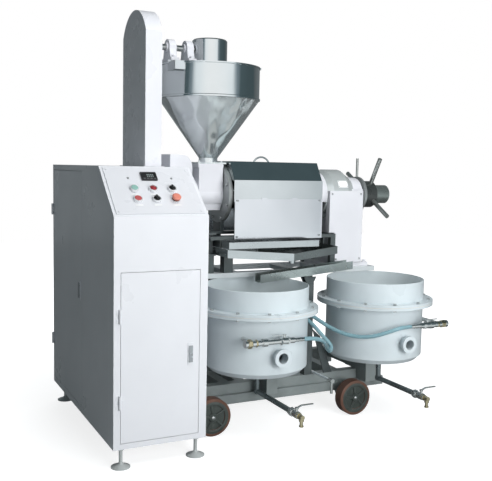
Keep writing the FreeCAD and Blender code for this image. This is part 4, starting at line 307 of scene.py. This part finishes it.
label_metal = material("label_metal", (0.74, 0.75, 0.76), 0.35, 0.0, spread=0.06, tone_scale=50,
                       grain=700, grain_depth=0.00004)
display_glass = material("display_glass", (0.012, 0.012, 0.016), 0.08, spread=0.1, grain=900,
                         grain_depth=0.00001, clear=0.8)
digit_red = material("digit_red", (0.25, 0.30, 0.30), 0.3, spread=0.1, tone_scale=200, grain=900,
                     grain_depth=0.00001, glow=0.15)


def hose_material():
    m = material("hose_plastic", (0.30, 0.50, 0.56), 0.16, spread=0.10, tone_scale=18, grain=240,
                 grain_depth=0.0002, wave=0.0012, wave_scale=30, clear=0.5)
    shader = m.node_tree.nodes["Principled BSDF"]
    socket(shader, "Transmission Weight").default_value = 0.42
    socket(shader, "IOR").default_value = 1.4
    return m


hose_plastic = hose_material()

dress = {
    "cabinet_shell": cabinet_paint, "cabinet_hinges": cabinet_paint, "levelling_feet": foot_steel,
    "control_panel": panel_paint, "temperature_controller": black_plastic, "panel_bezels": bright,
    "electrical_plate": black_plastic, "front_door": cabinet_paint, "front_door_lock": lock_metal,
    "side_door": cabinet_paint, "side_door_lock": lock_metal, "green_button": green_plastic,
    "red_button": red_plastic, "mode_selector": black_plastic, "heater_selector": black_plastic,
    "emergency_stop": stop_plastic, "belt_guard": guard_paint, "v_belts": rubber,
    "motor": base_paint, "motor_pulley": cage_steel, "input_pulleys": cage_steel,
    "gearbox": cast_paint, "bearing_bracket": table_paint, "feeder_shaft": steel,
    "feed_auger": steel, "gear_cover": stainless, "hopper": hopper_steel,
    "feed_throat": cast_paint, "cage_flange": grey_cast, "press_cage": cage_steel,
    "press_worm": steel, "cake_outlet": cast_paint, "side_covers": stainless,
    "front_cover": cover_steel, "cage_hood": hood_steel, "end_pedestal": cast_paint,
    "choke_sleeve": sleeve_steel, "lock_ring": grey_cast, "adjusting_nut": black_paint,
    "press_frame": frame_paint, "frame_posts": frame_paint, "base_frame": base_paint,
    "oil_pan": brushed, "residue_tray": brushed, "oil_trough": trough_steel,
    "left_drum": drum_paint, "right_drum": drum_paint, "drum_rings": drum_paint,
    "filter_plates": cloth, "drum_bolts": steel, "vacuum_fittings": chrome_pipe,
    "left_vacuum_lever": steel, "right_vacuum_lever": steel, "drain_pipes": dark_cast,
    "left_drain_lever": steel, "right_drain_lever": steel, "left_wheels": tread,
    "right_wheels": tread,
}


def wear(node, *materials):
    """Give a CAD node its materials."""
    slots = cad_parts[node].data.materials
    slots.clear()
    for m in materials:
        slots.append(m)


def split(node, others):
    """Faces of a CAD node whose middle passes a test take another material than the first."""
    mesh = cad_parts[node].data
    for polygon in mesh.polygons:
        polygon.material_index = 0
        middle = Vector(polygon.center) * 1000 + ORIGIN
        for index, (_, test) in enumerate(others):
            if test(middle):
                polygon.material_index = index + 1


def near_press(p):
    """Distance of a point from the press axis."""
    return math.hypot(p.y - PRESS_Y, p.z - PRESS_Z)


def near_axle(p, x):
    """Distance of a point from the axle of a wheel set."""
    return math.hypot(p.x - x, p.z - WHEEL_Z)


def near_lamp(p):
    """Distance of a point from the pilot lamp's axis, measured along the slanted panel."""
    row = p.y * math.cos(PANEL_TILT) + (p.z - PANEL_BASE) * math.sin(PANEL_TILT)
    return math.hypot(p.x - COLUMNS[1], row - UPPER_ROW)


def panel_place(x, row, height):
    """Machine point on the slanted panel, so far along it and above it."""
    return (x, row * math.cos(PANEL_TILT) - height * math.sin(PANEL_TILT),
            PANEL_BASE + row * math.sin(PANEL_TILT) + height * math.cos(PANEL_TILT))


def dress_parts():
    """Materials of the CAD nodes, and of the faces that differ from the rest of their node."""
    for node, m in dress.items():
        wear(node, m)
    for node, x in WHEEL_SETS:
        wear(node, tread, wheel_iron, steel)
        split(node, [(wheel_iron, lambda p, x=x: near_axle(p, x) < IRON_RADIUS),
                     (steel, lambda p, x=x: near_axle(p, x) < AXLE_END_RADIUS)])
    wear("drain_pipes", pipe_steel, chrome_pipe, brass)
    split("drain_pipes", [(chrome_pipe, lambda p: p.y < UNION_Y), (brass, lambda p: p.y < VALVE_Y)])
    wear("vacuum_fittings", chrome_pipe, drum_paint, brass)
    split("vacuum_fittings", [(drum_paint, lambda p: p.y > RECEIVER_FRONT)])
    wear("panel_bezels", bright, lamp_red)
    split("panel_bezels", [(lamp_red, lambda p: near_lamp(p) < LAMP_RADIUS)])
    # Painted shade: the guard's side faces take the darker copy of its paint
    wear("belt_guard", guard_paint, guard_painted_shade)
    split("belt_guard", [(guard_painted_shade, lambda p: p.x < GUARD_LEFT or p.x > GUARD_RIGHT)])
    wear("hopper", hopper_steel, cone_steel)
    split("hopper", [(cone_steel, lambda p: p.z < CONE_TOP)])
    wear("oil_pan", brushed, dark_steel)
    split("oil_pan", [(dark_steel, lambda p: p.x > PAN_OUTLET_X)])
    wear("bearing_bracket", table_paint, cast_paint)
    split("bearing_bracket", [(cast_paint, lambda p: p.z > PILLOW_BLOCK_BOTTOM)])
    wear("press_frame", frame_paint, table_paint)
    split("press_frame", [(table_paint, lambda p: p.z <= TABLE_TOP)])
    wear("adjusting_nut", black_paint, bar_steel)
    split("adjusting_nut", [(bar_steel, lambda p: near_press(p) > NUT_HUB_RADIUS)])
    wear("choke_sleeve", sleeve_steel, chrome_pipe)
    split("choke_sleeve", [(chrome_pipe, lambda p: p.x > SLEEVE_TIP_X)])
    wear("lock_ring", grey_cast, bar_steel)
    split("lock_ring", [(bar_steel, lambda p: near_press(p) > LOCK_RING_RADIUS)])
    wear("end_pedestal", cast_paint, housing_metal)
    split("end_pedestal",
          [(housing_metal, lambda p: near_press(p) < HOUSING_RADIUS and p.x < HOUSING_RIGHT)])


dress_parts()


# Shapes
def object_from(bm, name, body, surface, smooth=True):
    """Turn a finished mesh into a piece that rides on a body and fills a material slot."""
    mesh = bpy.data.meshes.new(name)
    bmesh.ops.recalc_face_normals(bm, faces=bm.faces)
    bm.to_mesh(mesh)
    bm.free()
    if smooth:
        mesh.shade_smooth()
        mesh.set_sharp_from_angle(angle=math.radians(35))
    piece = bpy.data.objects.new(name, mesh)
    bpy.context.scene.collection.objects.link(piece)
    mesh.materials.append(surface)
    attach(piece, body)
    return piece


def facing(axis, turn=0.0):
    """Rotation that takes +Z to the axis."""
    return Vector(axis).to_track_quat("Z", "Y").to_matrix().to_4x4() @ Matrix.Rotation(turn, 4, "Z")


def circle(bm, base, radius, level, sides):
    """Ring of vertices about a base's axis, in millimetres above it."""
    turns = [2 * math.pi * i / sides for i in range(sides)]
    return [bm.verts.new(base @ Vector((radius * math.cos(a) / 1000, radius * math.sin(a) / 1000,
                                        level / 1000))) for a in turns]


def bridge(bm, rings):
    """Side faces between rings of the same count."""
    for a, b in zip(rings, rings[1:]):
        for i in range(len(a)):
            j = (i + 1) % len(a)
            bm.faces.new((a[i], a[j], b[j], b[i]))


def add_prism(bm, place, axis, radius, height, sides=6, chamfer=0.0, turn=0.0):
    """Prism or disc standing on a point along an axis, with its top chamfered, in millimetres."""
    base = Matrix.Translation(at(*place)) @ facing(axis, turn)
    levels = [(radius, 0.0), (radius, height)]
    if chamfer:
        levels = [(radius, 0.0), (radius, height - chamfer), (radius - chamfer, height)]
    rings = [circle(bm, base, r, level, sides) for r, level in levels]
    bm.faces.new(list(reversed(rings[0])))
    bm.faces.new(rings[-1])
    bridge(bm, rings)


def add_slab(bm, place, axis, width, height, depth, round_off=0.0):
    """Rounded slab standing on a point along an axis, in millimetres."""
    base = Matrix.Translation(at(*place)) @ facing(axis)
    r = min(round_off, width / 2, height / 2)
    outline = []
    if r:
        for cx, cy, start in ((width / 2 - r, height / 2 - r, 0),
                              (-width / 2 + r, height / 2 - r, 90),
                              (-width / 2 + r, -height / 2 + r, 180),
                              (width / 2 - r, -height / 2 + r, 270)):
            outline += [(cx + r * math.cos(math.radians(start + 90 * k / 6)),
                         cy + r * math.sin(math.radians(start + 90 * k / 6))) for k in range(7)]
    else:
        outline = [(width / 2, height / 2), (-width / 2, height / 2), (-width / 2, -height / 2),
                   (width / 2, -height / 2)]
    inset = min(0.8, depth / 3)
    rings = []
    for level, shrink in ((0.0, 0.0), (depth - inset, 0.0), (depth, inset)):
        ring = []
        for x, y in outline:
            k = Vector((x, y))
            k -= k.normalized() * shrink
            ring.append(bm.verts.new(base @ Vector((k.x / 1000, k.y / 1000, level / 1000))))
        rings.append(ring)
    bm.faces.new(list(reversed(rings[0])))
    bm.faces.new(rings[-1])
    bridge(bm, rings)


def add_turned(bm, place, axis, profile, sides=40):
    """Body of revolution on a point along an axis: pairs of radius and height in millimetres."""
    base = Matrix.Translation(at(*place)) @ facing(axis)
    rings = []
    for radius, level in profile:
        if radius == 0:
            rings.append([bm.verts.new(base @ Vector((0, 0, level / 1000)))])
            continue
        rings.append(circle(bm, base, radius, level, sides))
    for a, b in zip(rings, rings[1:]):
        for i in range(sides):
            j = (i + 1) % sides
            corners = [a[i % len(a)], a[j % len(a)], b[j % len(b)], b[i % len(b)]]
            unique = []
            for corner in corners:
                if corner not in unique:
                    unique.append(corner)
            if len(unique) > 2:
                bm.faces.new(unique)


def screw_heads(bm, places, axis, radius, height):
    """Dome heads with a dished socket."""
    for place in places:
        add_turned(bm, place, axis,
                   [(0, 0), (radius, 0), (radius, height * 0.35), (radius * 0.8, height * 0.8),
                    (radius * 0.5, height), (radius * 0.42, height), (radius * 0.36, height * 0.6),
                    (0, height * 0.6)], 20)


def add_rib(bm, middle, axis, angle, length, width, depth):
    """Tapered rib on a wheel's face that points away from its hub."""
    out = Vector((math.cos(angle), 0, math.sin(angle)))
    across = Vector((-math.sin(angle), 0, math.cos(angle)))
    deep = Vector(axis)
    corners = []
    for level, grow in ((0, 1.0), (depth - 1, 1.0), (depth, 0.72)):
        ring = []
        for a, b in ((1, 1), (-1, 1), (-1, -1), (1, -1)):
            spot = Vector(middle) + out * (a * length / 2) + across * (b * width * grow / 2)
            ring.append(bm.verts.new(at(*(spot + deep * level))))
        corners.append(ring)
    bm.faces.new(corners[0])
    bm.faces.new(corners[-1])
    bridge(bm, corners)


def add_box(bm, corner, size):
    """Box from its lowest corner and its size."""
    spots = [(corner[0] + i * size[0], corner[1] + j * size[1], corner[2] + k * size[2])
             for i in (0, 1) for j in (0, 1) for k in (0, 1)]
    verts = [bm.verts.new(at(*spot)) for spot in spots]
    for face in ((0, 1, 3, 2), (4, 6, 7, 5), (0, 4, 5, 1), (2, 3, 7, 6), (0, 2, 6, 4),
                 (1, 5, 7, 3)):
        bm.faces.new([verts[i] for i in face])


def add_curved_plate(bm, x0, x1, low, high, inner, outer, steps=10):
    """Plate bent round the press axis, from one angle above the front to another."""
    rows = []
    for k in range(steps + 1):
        a = math.radians(low + (high - low) * k / steps)
        rows.append([bm.verts.new(at(x, PRESS_Y - r * math.cos(a), PRESS_Z + r * math.sin(a)))
                     for x, r in ((x0, inner), (x1, inner), (x1, outer), (x0, outer))])
    bm.faces.new(rows[0])
    bm.faces.new(rows[-1])
    bridge(bm, rows)


# Control panel
def panel_pieces():
    bm = bmesh.new()
    for x in COLUMNS:
        for row in (UPPER_ROW, LOWER_ROW):
            tall = 5.1 if (x, row) == (COLUMNS[2], LOWER_ROW) else 13.0
            add_turned(bm, panel_place(x, row, PLATE - 0.5), PANEL_NORMAL,
                       [(15.5, 0), (19.5, 0), (19.5, tall - 1.8), (18.4, tall), (16.6, tall + 0.4),
                        (15.5, tall - 0.4), (15.5, 0)])
    object_from(bm, "operator_rings", "machine", plate_metal)

    low = PLATE + BEZEL + TRAVEL + 0.5
    buttons = (("green_button", UPPER_ROW, green_plastic, "green_plastic"),
               ("red_button", LOWER_ROW, red_plastic, "red_plastic"))
    for name, row, surface, slot_name in buttons:
        bm = bmesh.new()
        add_turned(bm, panel_place(COLUMNS[0], row, 0), PANEL_NORMAL,
                   [(0, PLATE + 0.6), (10.8, PLATE + 0.6), (10.8, low), (14.6, low),
                    (15.2, low + 0.8), (15.2, low + 3.0), (14.4, low + 4.2), (12.6, low + 4.7),
                    (6, low + 4.2), (0, low + 4.0)])
        cap = object_from(bm, name + "_cap", name, surface)
        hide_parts(name)

    bm = bmesh.new()
    add_turned(bm, panel_place(COLUMNS[1], UPPER_ROW, PLATE + BEZEL), PANEL_NORMAL,
               [(0, 0.1), (15.0, 0.1), (15.0, 3.4), (14.4, 5.4), (11.5, 8.2), (7.0, 9.8),
                (0, 10.4)])
    object_from(bm, "pilot_lens", "machine", lamp_red)

    for name, x, row in (("mode_selector", COLUMNS[2], UPPER_ROW),
                         ("heater_selector", COLUMNS[1], LOWER_ROW)):
        bm = bmesh.new()
        add_turned(bm, panel_place(x, row, 0), PANEL_NORMAL,
                   [(0, PLATE + 0.6), (10.8, PLATE + 0.6), (10.8, PLATE + BEZEL + 0.4),
                    (15.0, PLATE + BEZEL + 0.4), (15.0, PLATE + BEZEL + 3.4),
                    (14.0, PLATE + BEZEL + 4.6), (0, PLATE + BEZEL + 4.6)])
        add_slab(bm, panel_place(x, row, PLATE + BEZEL + 4.6), PANEL_NORMAL, 9.5, 27, 10.5,
                 round_off=4.0)
        knob = object_from(bm, name + "_knob", name, black_plastic)
        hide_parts(name)

    bm = bmesh.new()
    for x in COLUMNS:
        for row in (UPPER_ROW - LABEL_DROP, LOWER_ROW - LABEL_DROP):
            add_slab(bm, panel_place(x, row, PLATE - 0.1), PANEL_NORMAL, 34, 8, 0.9,
                     round_off=1.5)
    object_from(bm, "label_strips", "machine", label_metal)

    bm = bmesh.new()
    for x in PLUG_COLUMNS:
        add_turned(bm, panel_place(x, PLUG_ROW, PLATE - 0.2), PANEL_NORMAL,
                   [(5.2, 0), (5.2, 1.6), (4.4, 2.4), (2.6, 2.6), (2.2, 1.4), (0, 1.4)], 24)
    object_from(bm, "panel_plugs", "machine", grey_cast)

    bm = bmesh.new()
    add_slab(bm, panel_place(COLUMNS[1], CONTROLLER_ROW + 3, PLATE + 5.6), PANEL_NORMAL, 54, 28,
             1.2, round_off=1.0)
    object_from(bm, "controller_window", "machine", display_glass)
    bm = bmesh.new()
    for row, tall in ((CONTROLLER_ROW + 8, 7.0), (CONTROLLER_ROW - 2, 6.0)):
        for k in range(4):
            add_slab(bm, panel_place(COLUMNS[1] - 6 + 8.5 * k, row, PLATE + 6.7), PANEL_NORMAL,
                     4.6, tall, 0.4)
    object_from(bm, "controller_bars", "machine", digit_red)
    bm = bmesh.new()
    for k in range(4):
        add_slab(bm, panel_place(COLUMNS[1] - 24 + 16 * k, CONTROLLER_ROW - 18, PLATE + 8.9),
                 PANEL_NORMAL, 11, 5, 1.4, round_off=1.5)
    object_from(bm, "controller_keys", "machine", dark_cast)


panel_pieces()


# Cabinet: slots of the two locks
def cabinet_pieces():
    bm = bmesh.new()
    for z in (452, 498):
        add_slab(bm, (348, -3.4, z), (0, -1, 0), 7, 22, 0.8, round_off=3.4)
    object_from(bm, "front_lock_slots", "front_door_lock", black_plastic)
    bm = bmesh.new()
    for z in (665, 711):
        add_slab(bm, (-3.4, 569, z), (-1, 0, 0), 22, 7, 0.8, round_off=3.4)
    object_from(bm, "side_lock_slots", "side_door_lock", black_plastic)


# Wheels: ribbed iron face inside a thin tread
def wheel_faces():
    for body, x in WHEEL_SETS:
        bm = bmesh.new()
        for y, side in WHEEL_FACES:
            face = (x, y - side * 0.5, WHEEL_Z)
            axis = (0, side, 0)
            add_turned(bm, face, axis,
                       [(61, -5), (61, 0.4), (64, 1.8), (74, 1.8), (79, 0.4), (79.5, -2.5),
                        (61, -5)], 56)
            add_turned(bm, face, axis,
                       [(0, -6), (21, -6), (21, 0.6), (19, 2.4), (11, 2.6), (9, 1.2), (0, 1.2)], 32)
            for k in range(5):
                angle = 2 * math.pi * k / 5 + 0.5
                middle = (x + 41 * math.cos(angle), y - side * 5.6, WHEEL_Z + 41 * math.sin(angle))
                add_rib(bm, middle, axis, angle, 44, 11, 5.4)
        object_from(bm, body + "_faces", body, wheel_iron)
        bm = bmesh.new()
        for y, side in WHEEL_FACES:
            add_turned(bm, (x, y + side * 1.2, WHEEL_Z), (0, side, 0),
                       [(0, 0), (10, 0), (10, 2.2), (7, 4.2), (0, 4.8)], 24)
        object_from(bm, body + "_caps", body, chrome_pipe)


# Fittings: nuts of the vacuum trains and of the drains, collars of the spouts
def fitting_nuts():
    bm = bmesh.new()
    for x, z, side, _ in VACUUM_TRAINS:
        add_prism(bm, (x - side * 30, FITTING_Y, z), (side, 0, 0), 21, 20,
                  chamfer=2.5, turn=0.3)
        add_prism(bm, (x + side * 8, FITTING_Y, z), (side, 0, 0), 17.6, 10,
                  chamfer=2.0, turn=0.3)
    object_from(bm, "vacuum_brass_nuts", "machine", brass)
    bm = bmesh.new()
    for x, z, side, reach in VACUUM_TRAINS:
        add_prism(bm, (x + side * (reach - 128), FITTING_Y, z), (side, 0, 0), 18.4, 12,
                  chamfer=2.0, turn=0.1)
        add_prism(bm, (x + side * (reach - 90), FITTING_Y, z), (side, 0, 0), 18.0, 12,
                  chamfer=2.0, turn=0.4)
        add_prism(bm, (x + side * (reach - 58), FITTING_Y, z), (side, 0, 0), 12.5, 9,
                  sides=20, chamfer=1.2)
    for x in DRAIN_COLUMNS:
        add_prism(bm, (x, -44, DRAIN_Z), (0, -1, 0), 21, 22, chamfer=2.5, turn=0.2)
        add_prism(bm, (x, VALVE_Y, DRAIN_Z), (0, -1, 0), 17, 12, chamfer=2.0, turn=0.5)
    object_from(bm, "pipe_nuts", "machine", chrome_pipe)
    bm = bmesh.new()
    for x in DRAIN_COLUMNS:
        add_turned(bm, (x, SPOUT_Y, 126), (0, 0, -1),
                   [(8.3, 0), (11, 0), (11, 5), (8.3, 6.5), (8.3, 0)], 24)
        add_turned(bm, (x, SPOUT_Y, 152), (0, 0, -1),
                   [(8.3, 0), (11.8, 0), (11.8, 6), (8.3, 7)], 24)
    object_from(bm, "spout_collars", "machine", brass)


# Press: pedestal casing, bare nameplate, screws
def press_pieces():
    bm = bmesh.new()
    x0, x1, low_x = 1349, 1567, 1384
    bottom, step, top = 780, 948, 1177
    front, sheet = 464.6, 3.4
    outline = [(low_x, bottom), (x1, bottom), (x1, top), (x0, top), (x0, step), (low_x, step)]
    for y in (front, front + sheet):
        bm.faces.new([bm.verts.new(at(x, y, z)) for x, z in outline])
    bm.verts.ensure_lookup_table()
    count = len(outline)
    for i in range(count):
        j = (i + 1) % count
        bm.faces.new((bm.verts[i], bm.verts[i + count], bm.verts[j + count], bm.verts[j]))
    inside = front + sheet
    for place, size in (((x0, inside, top - sheet), (x1 - x0, 30, sheet)),
                        ((x1 - sheet, inside, bottom), (sheet, 40, top - sheet - bottom)),
                        ((x0, inside, step), (sheet, 30, 225))):
        add_box(bm, place, size)
    object_from(bm, "pedestal_casing", "machine", cast_paint, False)

    bm = bmesh.new()
    plate_radius = 139.4
    add_curved_plate(bm, 1410, 1472, 17, 34, plate_radius - 1.2, plate_radius)
    object_from(bm, "nameplate", "machine", label_metal)
    bm = bmesh.new()
    for x in (1414, 1468):
        for angle in (19, 32):
            a = math.radians(angle)
            seat = plate_radius - 0.2
            add_prism(bm, (x, PRESS_Y - seat * math.cos(a), PRESS_Z + seat * math.sin(a)),
                      (0, -math.cos(a), math.sin(a)), 2.2, 1.2, sides=12, chamfer=0.5)
    object_from(bm, "nameplate_rivets", "machine", chrome_pipe)

    bm = bmesh.new()
    screw_heads(bm,
                [(1364, front, 1160), (1552, front, 1160), (1398, front, 800), (1552, front, 800)],
                (0, -1, 0), 5.5, 3.2)
    object_from(bm, "casing_screws", "machine", chrome_pipe)
    bm = bmesh.new()
    screw_heads(bm, [(776, 436, 1126), (1268, 436, 1126), (776, 436, 940), (1268, 436, 940)],
                (0, -1, 0), 5, 3)
    object_from(bm, "cover_screws", "front_cover", chrome_pipe)


cabinet_pieces()
wheel_faces()
fitting_nuts()
press_pieces()


# Hoses: points listed in machine millimetres
HOSE_RADIUS = 0.010
left_hose_route = [(897, -50, 505), (942, -50, 505), (1000, -36, 490), (1052, 10, 458),
                   (1118, 92, 404), (1170, 140, 374), (1190, 160, 402), (1147, 185, 451),
                   (1116, 234, 505), (1090, 310, 540), (1090, 380, 540)]
right_hose_route = [(1122, 380, 556), (1122, 312, 556), (1146, 238, 526), (1198, 160, 482),
                    (1262, 86, 458), (1330, 20, 462), (1392, -28, 490), (1462, -50, 515),
                    (1522, -50, 515)]


def hose(name, node, route):
    data = bpy.data.curves.new(name, "CURVE")
    data.dimensions = "3D"
    spline = data.splines.new("NURBS")
    spline.points.add(len(route) - 1)
    for point, place in zip(spline.points, route):
        point.co = (*at(*place), 1)
    spline.order_u = 3
    spline.use_endpoint_u = True
    spline.resolution_u = 24
    data.bevel_depth = HOSE_RADIUS
    data.bevel_resolution = 8
    data.use_fill_caps = True
    piece = bpy.data.objects.new(name, data)
    bpy.context.scene.collection.objects.link(piece)
    data.materials.append(hose_plastic)
    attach(piece, "machine")
    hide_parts(node)


hose("drum_hose_a", "left_hose", left_hose_route)
hose("drum_hose_b", "right_hose", right_hose_route)


# Light, floor and background: the studio is bright towards the front
STUDIO_FRONT = Vector((-0.2, -0.98, 0.0))


def area_light(name, place, target, size, energy):
    """White lamp that metal doesn't mirror, in the frame's metres."""
    data = bpy.data.lights.new(name, "AREA")
    data.shape = "RECTANGLE"
    data.size, data.size_y = size
    data.energy = energy
    lamp = bpy.data.objects.new(name, data)
    bpy.context.scene.collection.objects.link(lamp)
    lamp.location = place
    lamp.rotation_euler = (Vector(target) - Vector(place)).to_track_quat("-Z", "Y").to_euler()
    lamp.visible_glossy = False


def looked_at(nodes, links):
    """One for rays that come straight from the camera or through glass, and zero for others."""
    light_path = nodes.new("ShaderNodeLightPath")
    seen = nodes.new("ShaderNodeMath")
    seen.operation = "MAXIMUM"
    links.new(light_path.outputs["Is Camera Ray"], seen.inputs[0])
    links.new(light_path.outputs["Is Transmission Ray"], seen.inputs[1])
    return seen.outputs[0], light_path.outputs["Is Glossy Ray"]


def smooth_range(nodes, links, value, low, high, out_low, out_high):
    """Smooth step of a value from one range to another."""
    r = nodes.new("ShaderNodeMapRange")
    r.interpolation_type = "SMOOTHSTEP"
    for key, number in (("From Min", low), ("From Max", high), ("To Min", out_low),
                        ("To Max", out_high)):
        r.inputs[key].default_value = number
    links.new(value, r.inputs["Value"])
    return r.outputs["Result"]


def set_world():
    """Pale studio: bright front and dim sides for gloss to mirror, plain white to the camera."""
    world = bpy.data.worlds.new("studio")
    bpy.context.scene.world = world
    world.use_nodes = True
    tree = world.node_tree
    nodes, links = tree.nodes, tree.links
    nodes.clear()
    out = nodes.new("ShaderNodeOutputWorld")
    seen, is_glossy = looked_at(nodes, links)
    place = nodes.new("ShaderNodeTexCoord")
    toward = nodes.new("ShaderNodeVectorMath")
    toward.operation = "DOT_PRODUCT"
    toward.inputs[1].default_value = STUDIO_FRONT.normalized()
    links.new(place.outputs["Generated"], toward.inputs[0])
    scaled = nodes.new("ShaderNodeMapRange")
    scaled.inputs["From Min"].default_value = -1.0
    scaled.inputs["From Max"].default_value = 1.0
    links.new(toward.outputs["Value"], scaled.inputs["Value"])
    ramp = nodes.new("ShaderNodeValToRGB")
    elements = ramp.color_ramp.elements
    elements[0].position, elements[0].color = 0.0, (0.24, 0.26, 0.27, 1)
    elements[1].position, elements[1].color = 1.0, (1, 1, 1, 1)
    for position, color in ((0.22, (0.11, 0.125, 0.13, 1)), (0.40, (0.060, 0.085, 0.092, 1)),
                            (0.74, (0.078, 0.110, 0.120, 1)), (0.835, (0.22, 0.27, 0.30, 1)),
                            (0.885, (0.88, 0.92, 0.94, 1))):
        elements.new(position).color = color
    links.new(scaled.outputs["Result"], ramp.inputs["Fac"])
    studio = nodes.new("ShaderNodeBackground")
    studio.inputs["Strength"].default_value = 1.05
    links.new(ramp.outputs["Color"], studio.inputs["Color"])
    white = nodes.new("ShaderNodeBackground")
    white.inputs["Color"].default_value = (1, 1, 1, 1)
    white.inputs["Strength"].default_value = 1.0
    room = nodes.new("ShaderNodeBackground")
    room.inputs["Color"].default_value = (0.80, 0.96, 1.0, 1)
    room.inputs["Strength"].default_value = 0.13
    glossy = nodes.new("ShaderNodeMixShader")
    links.new(is_glossy, glossy.inputs["Fac"])
    links.new(room.outputs[0], glossy.inputs[1])
    links.new(studio.outputs[0], glossy.inputs[2])
    mix = nodes.new("ShaderNodeMixShader")
    links.new(seen, mix.inputs["Fac"])
    links.new(glossy.outputs[0], mix.inputs[1])
    links.new(white.outputs[0], mix.inputs[2])
    links.new(mix.outputs[0], out.inputs["Surface"])


def set_floor():
    """White floor that keeps the shadow, with a bright pool in front for metal to mirror."""
    bm = bmesh.new()
    bmesh.ops.create_grid(bm, x_segments=1, y_segments=1, size=9)
    mesh = bpy.data.meshes.new("floor")
    bm.to_mesh(mesh)
    bm.free()
    floor = bpy.data.objects.new("floor", mesh)
    bpy.context.scene.collection.objects.link(floor)
    m = material("floor_white", (0.42, 0.43, 0.435), 0.7, spread=0.01, grain=120,
                 grain_depth=0.0001)
    tree = m.node_tree
    nodes, links = tree.nodes, tree.links
    shader = nodes["Principled BSDF"]
    out = nodes["Material Output"]
    emit = nodes.new("ShaderNodeEmission")
    emit.inputs["Color"].default_value = (1, 1, 1, 1)
    seen, is_glossy = looked_at(nodes, links)
    distance = nodes.new("ShaderNodeVectorMath")
    distance.operation = "LENGTH"
    links.new(nodes.new("ShaderNodeTexCoord").outputs["Object"], distance.inputs[0])
    fade = smooth_range(nodes, links, distance.outputs["Value"], 0.9, 2.6, 0.80, 1.0)
    scale = nodes.new("ShaderNodeMath")
    scale.operation = "MULTIPLY"
    links.new(seen, scale.inputs[0])
    links.new(fade, scale.inputs[1])
    links.new(scale.outputs[0], emit.inputs["Strength"])
    add = nodes.new("ShaderNodeAddShader")
    links.new(shader.outputs[0], add.inputs[0])
    links.new(emit.outputs[0], add.inputs[1])
    front = nodes.new("ShaderNodeVectorMath")
    front.operation = "DOT_PRODUCT"
    front.inputs[1].default_value = STUDIO_FRONT
    links.new(nodes.new("ShaderNodeTexCoord").outputs["Object"], front.inputs[0])
    pool = smooth_range(nodes, links, front.outputs["Value"], 0.2, 1.5, 0.10, 0.90)
    mirrored = nodes.new("ShaderNodeEmission")
    mirrored.inputs["Color"].default_value = (0.90, 0.98, 1.0, 1)
    links.new(pool, mirrored.inputs["Strength"])
    pick = nodes.new("ShaderNodeMixShader")
    links.new(is_glossy, pick.inputs["Fac"])
    links.new(add.outputs[0], pick.inputs[1])
    links.new(mirrored.outputs[0], pick.inputs[2])
    links.new(pick.outputs[0], out.inputs["Surface"])
    mesh.materials.append(m)


area_light("key", (0.25, -5.4, 2.0), (0.2, 0.0, 0.85), (2.4, 2.6), 152)
area_light("front_fill", (1.8, -5.4, 0.9), (0.2, 0.0, 0.6), (3.4, 1.4), 84)
area_light("top", (0.4, -2.0, 4.6), (0.1, -0.2, 0.6), (2.8, 2.4), 118)
area_light("back", (1.0, 5.2, 2.8), (0.2, 0.0, 0.9), (3.0, 2.4), 130)
set_world()
set_floor()
bpy.context.scene.view_settings.view_transform = "Standard"
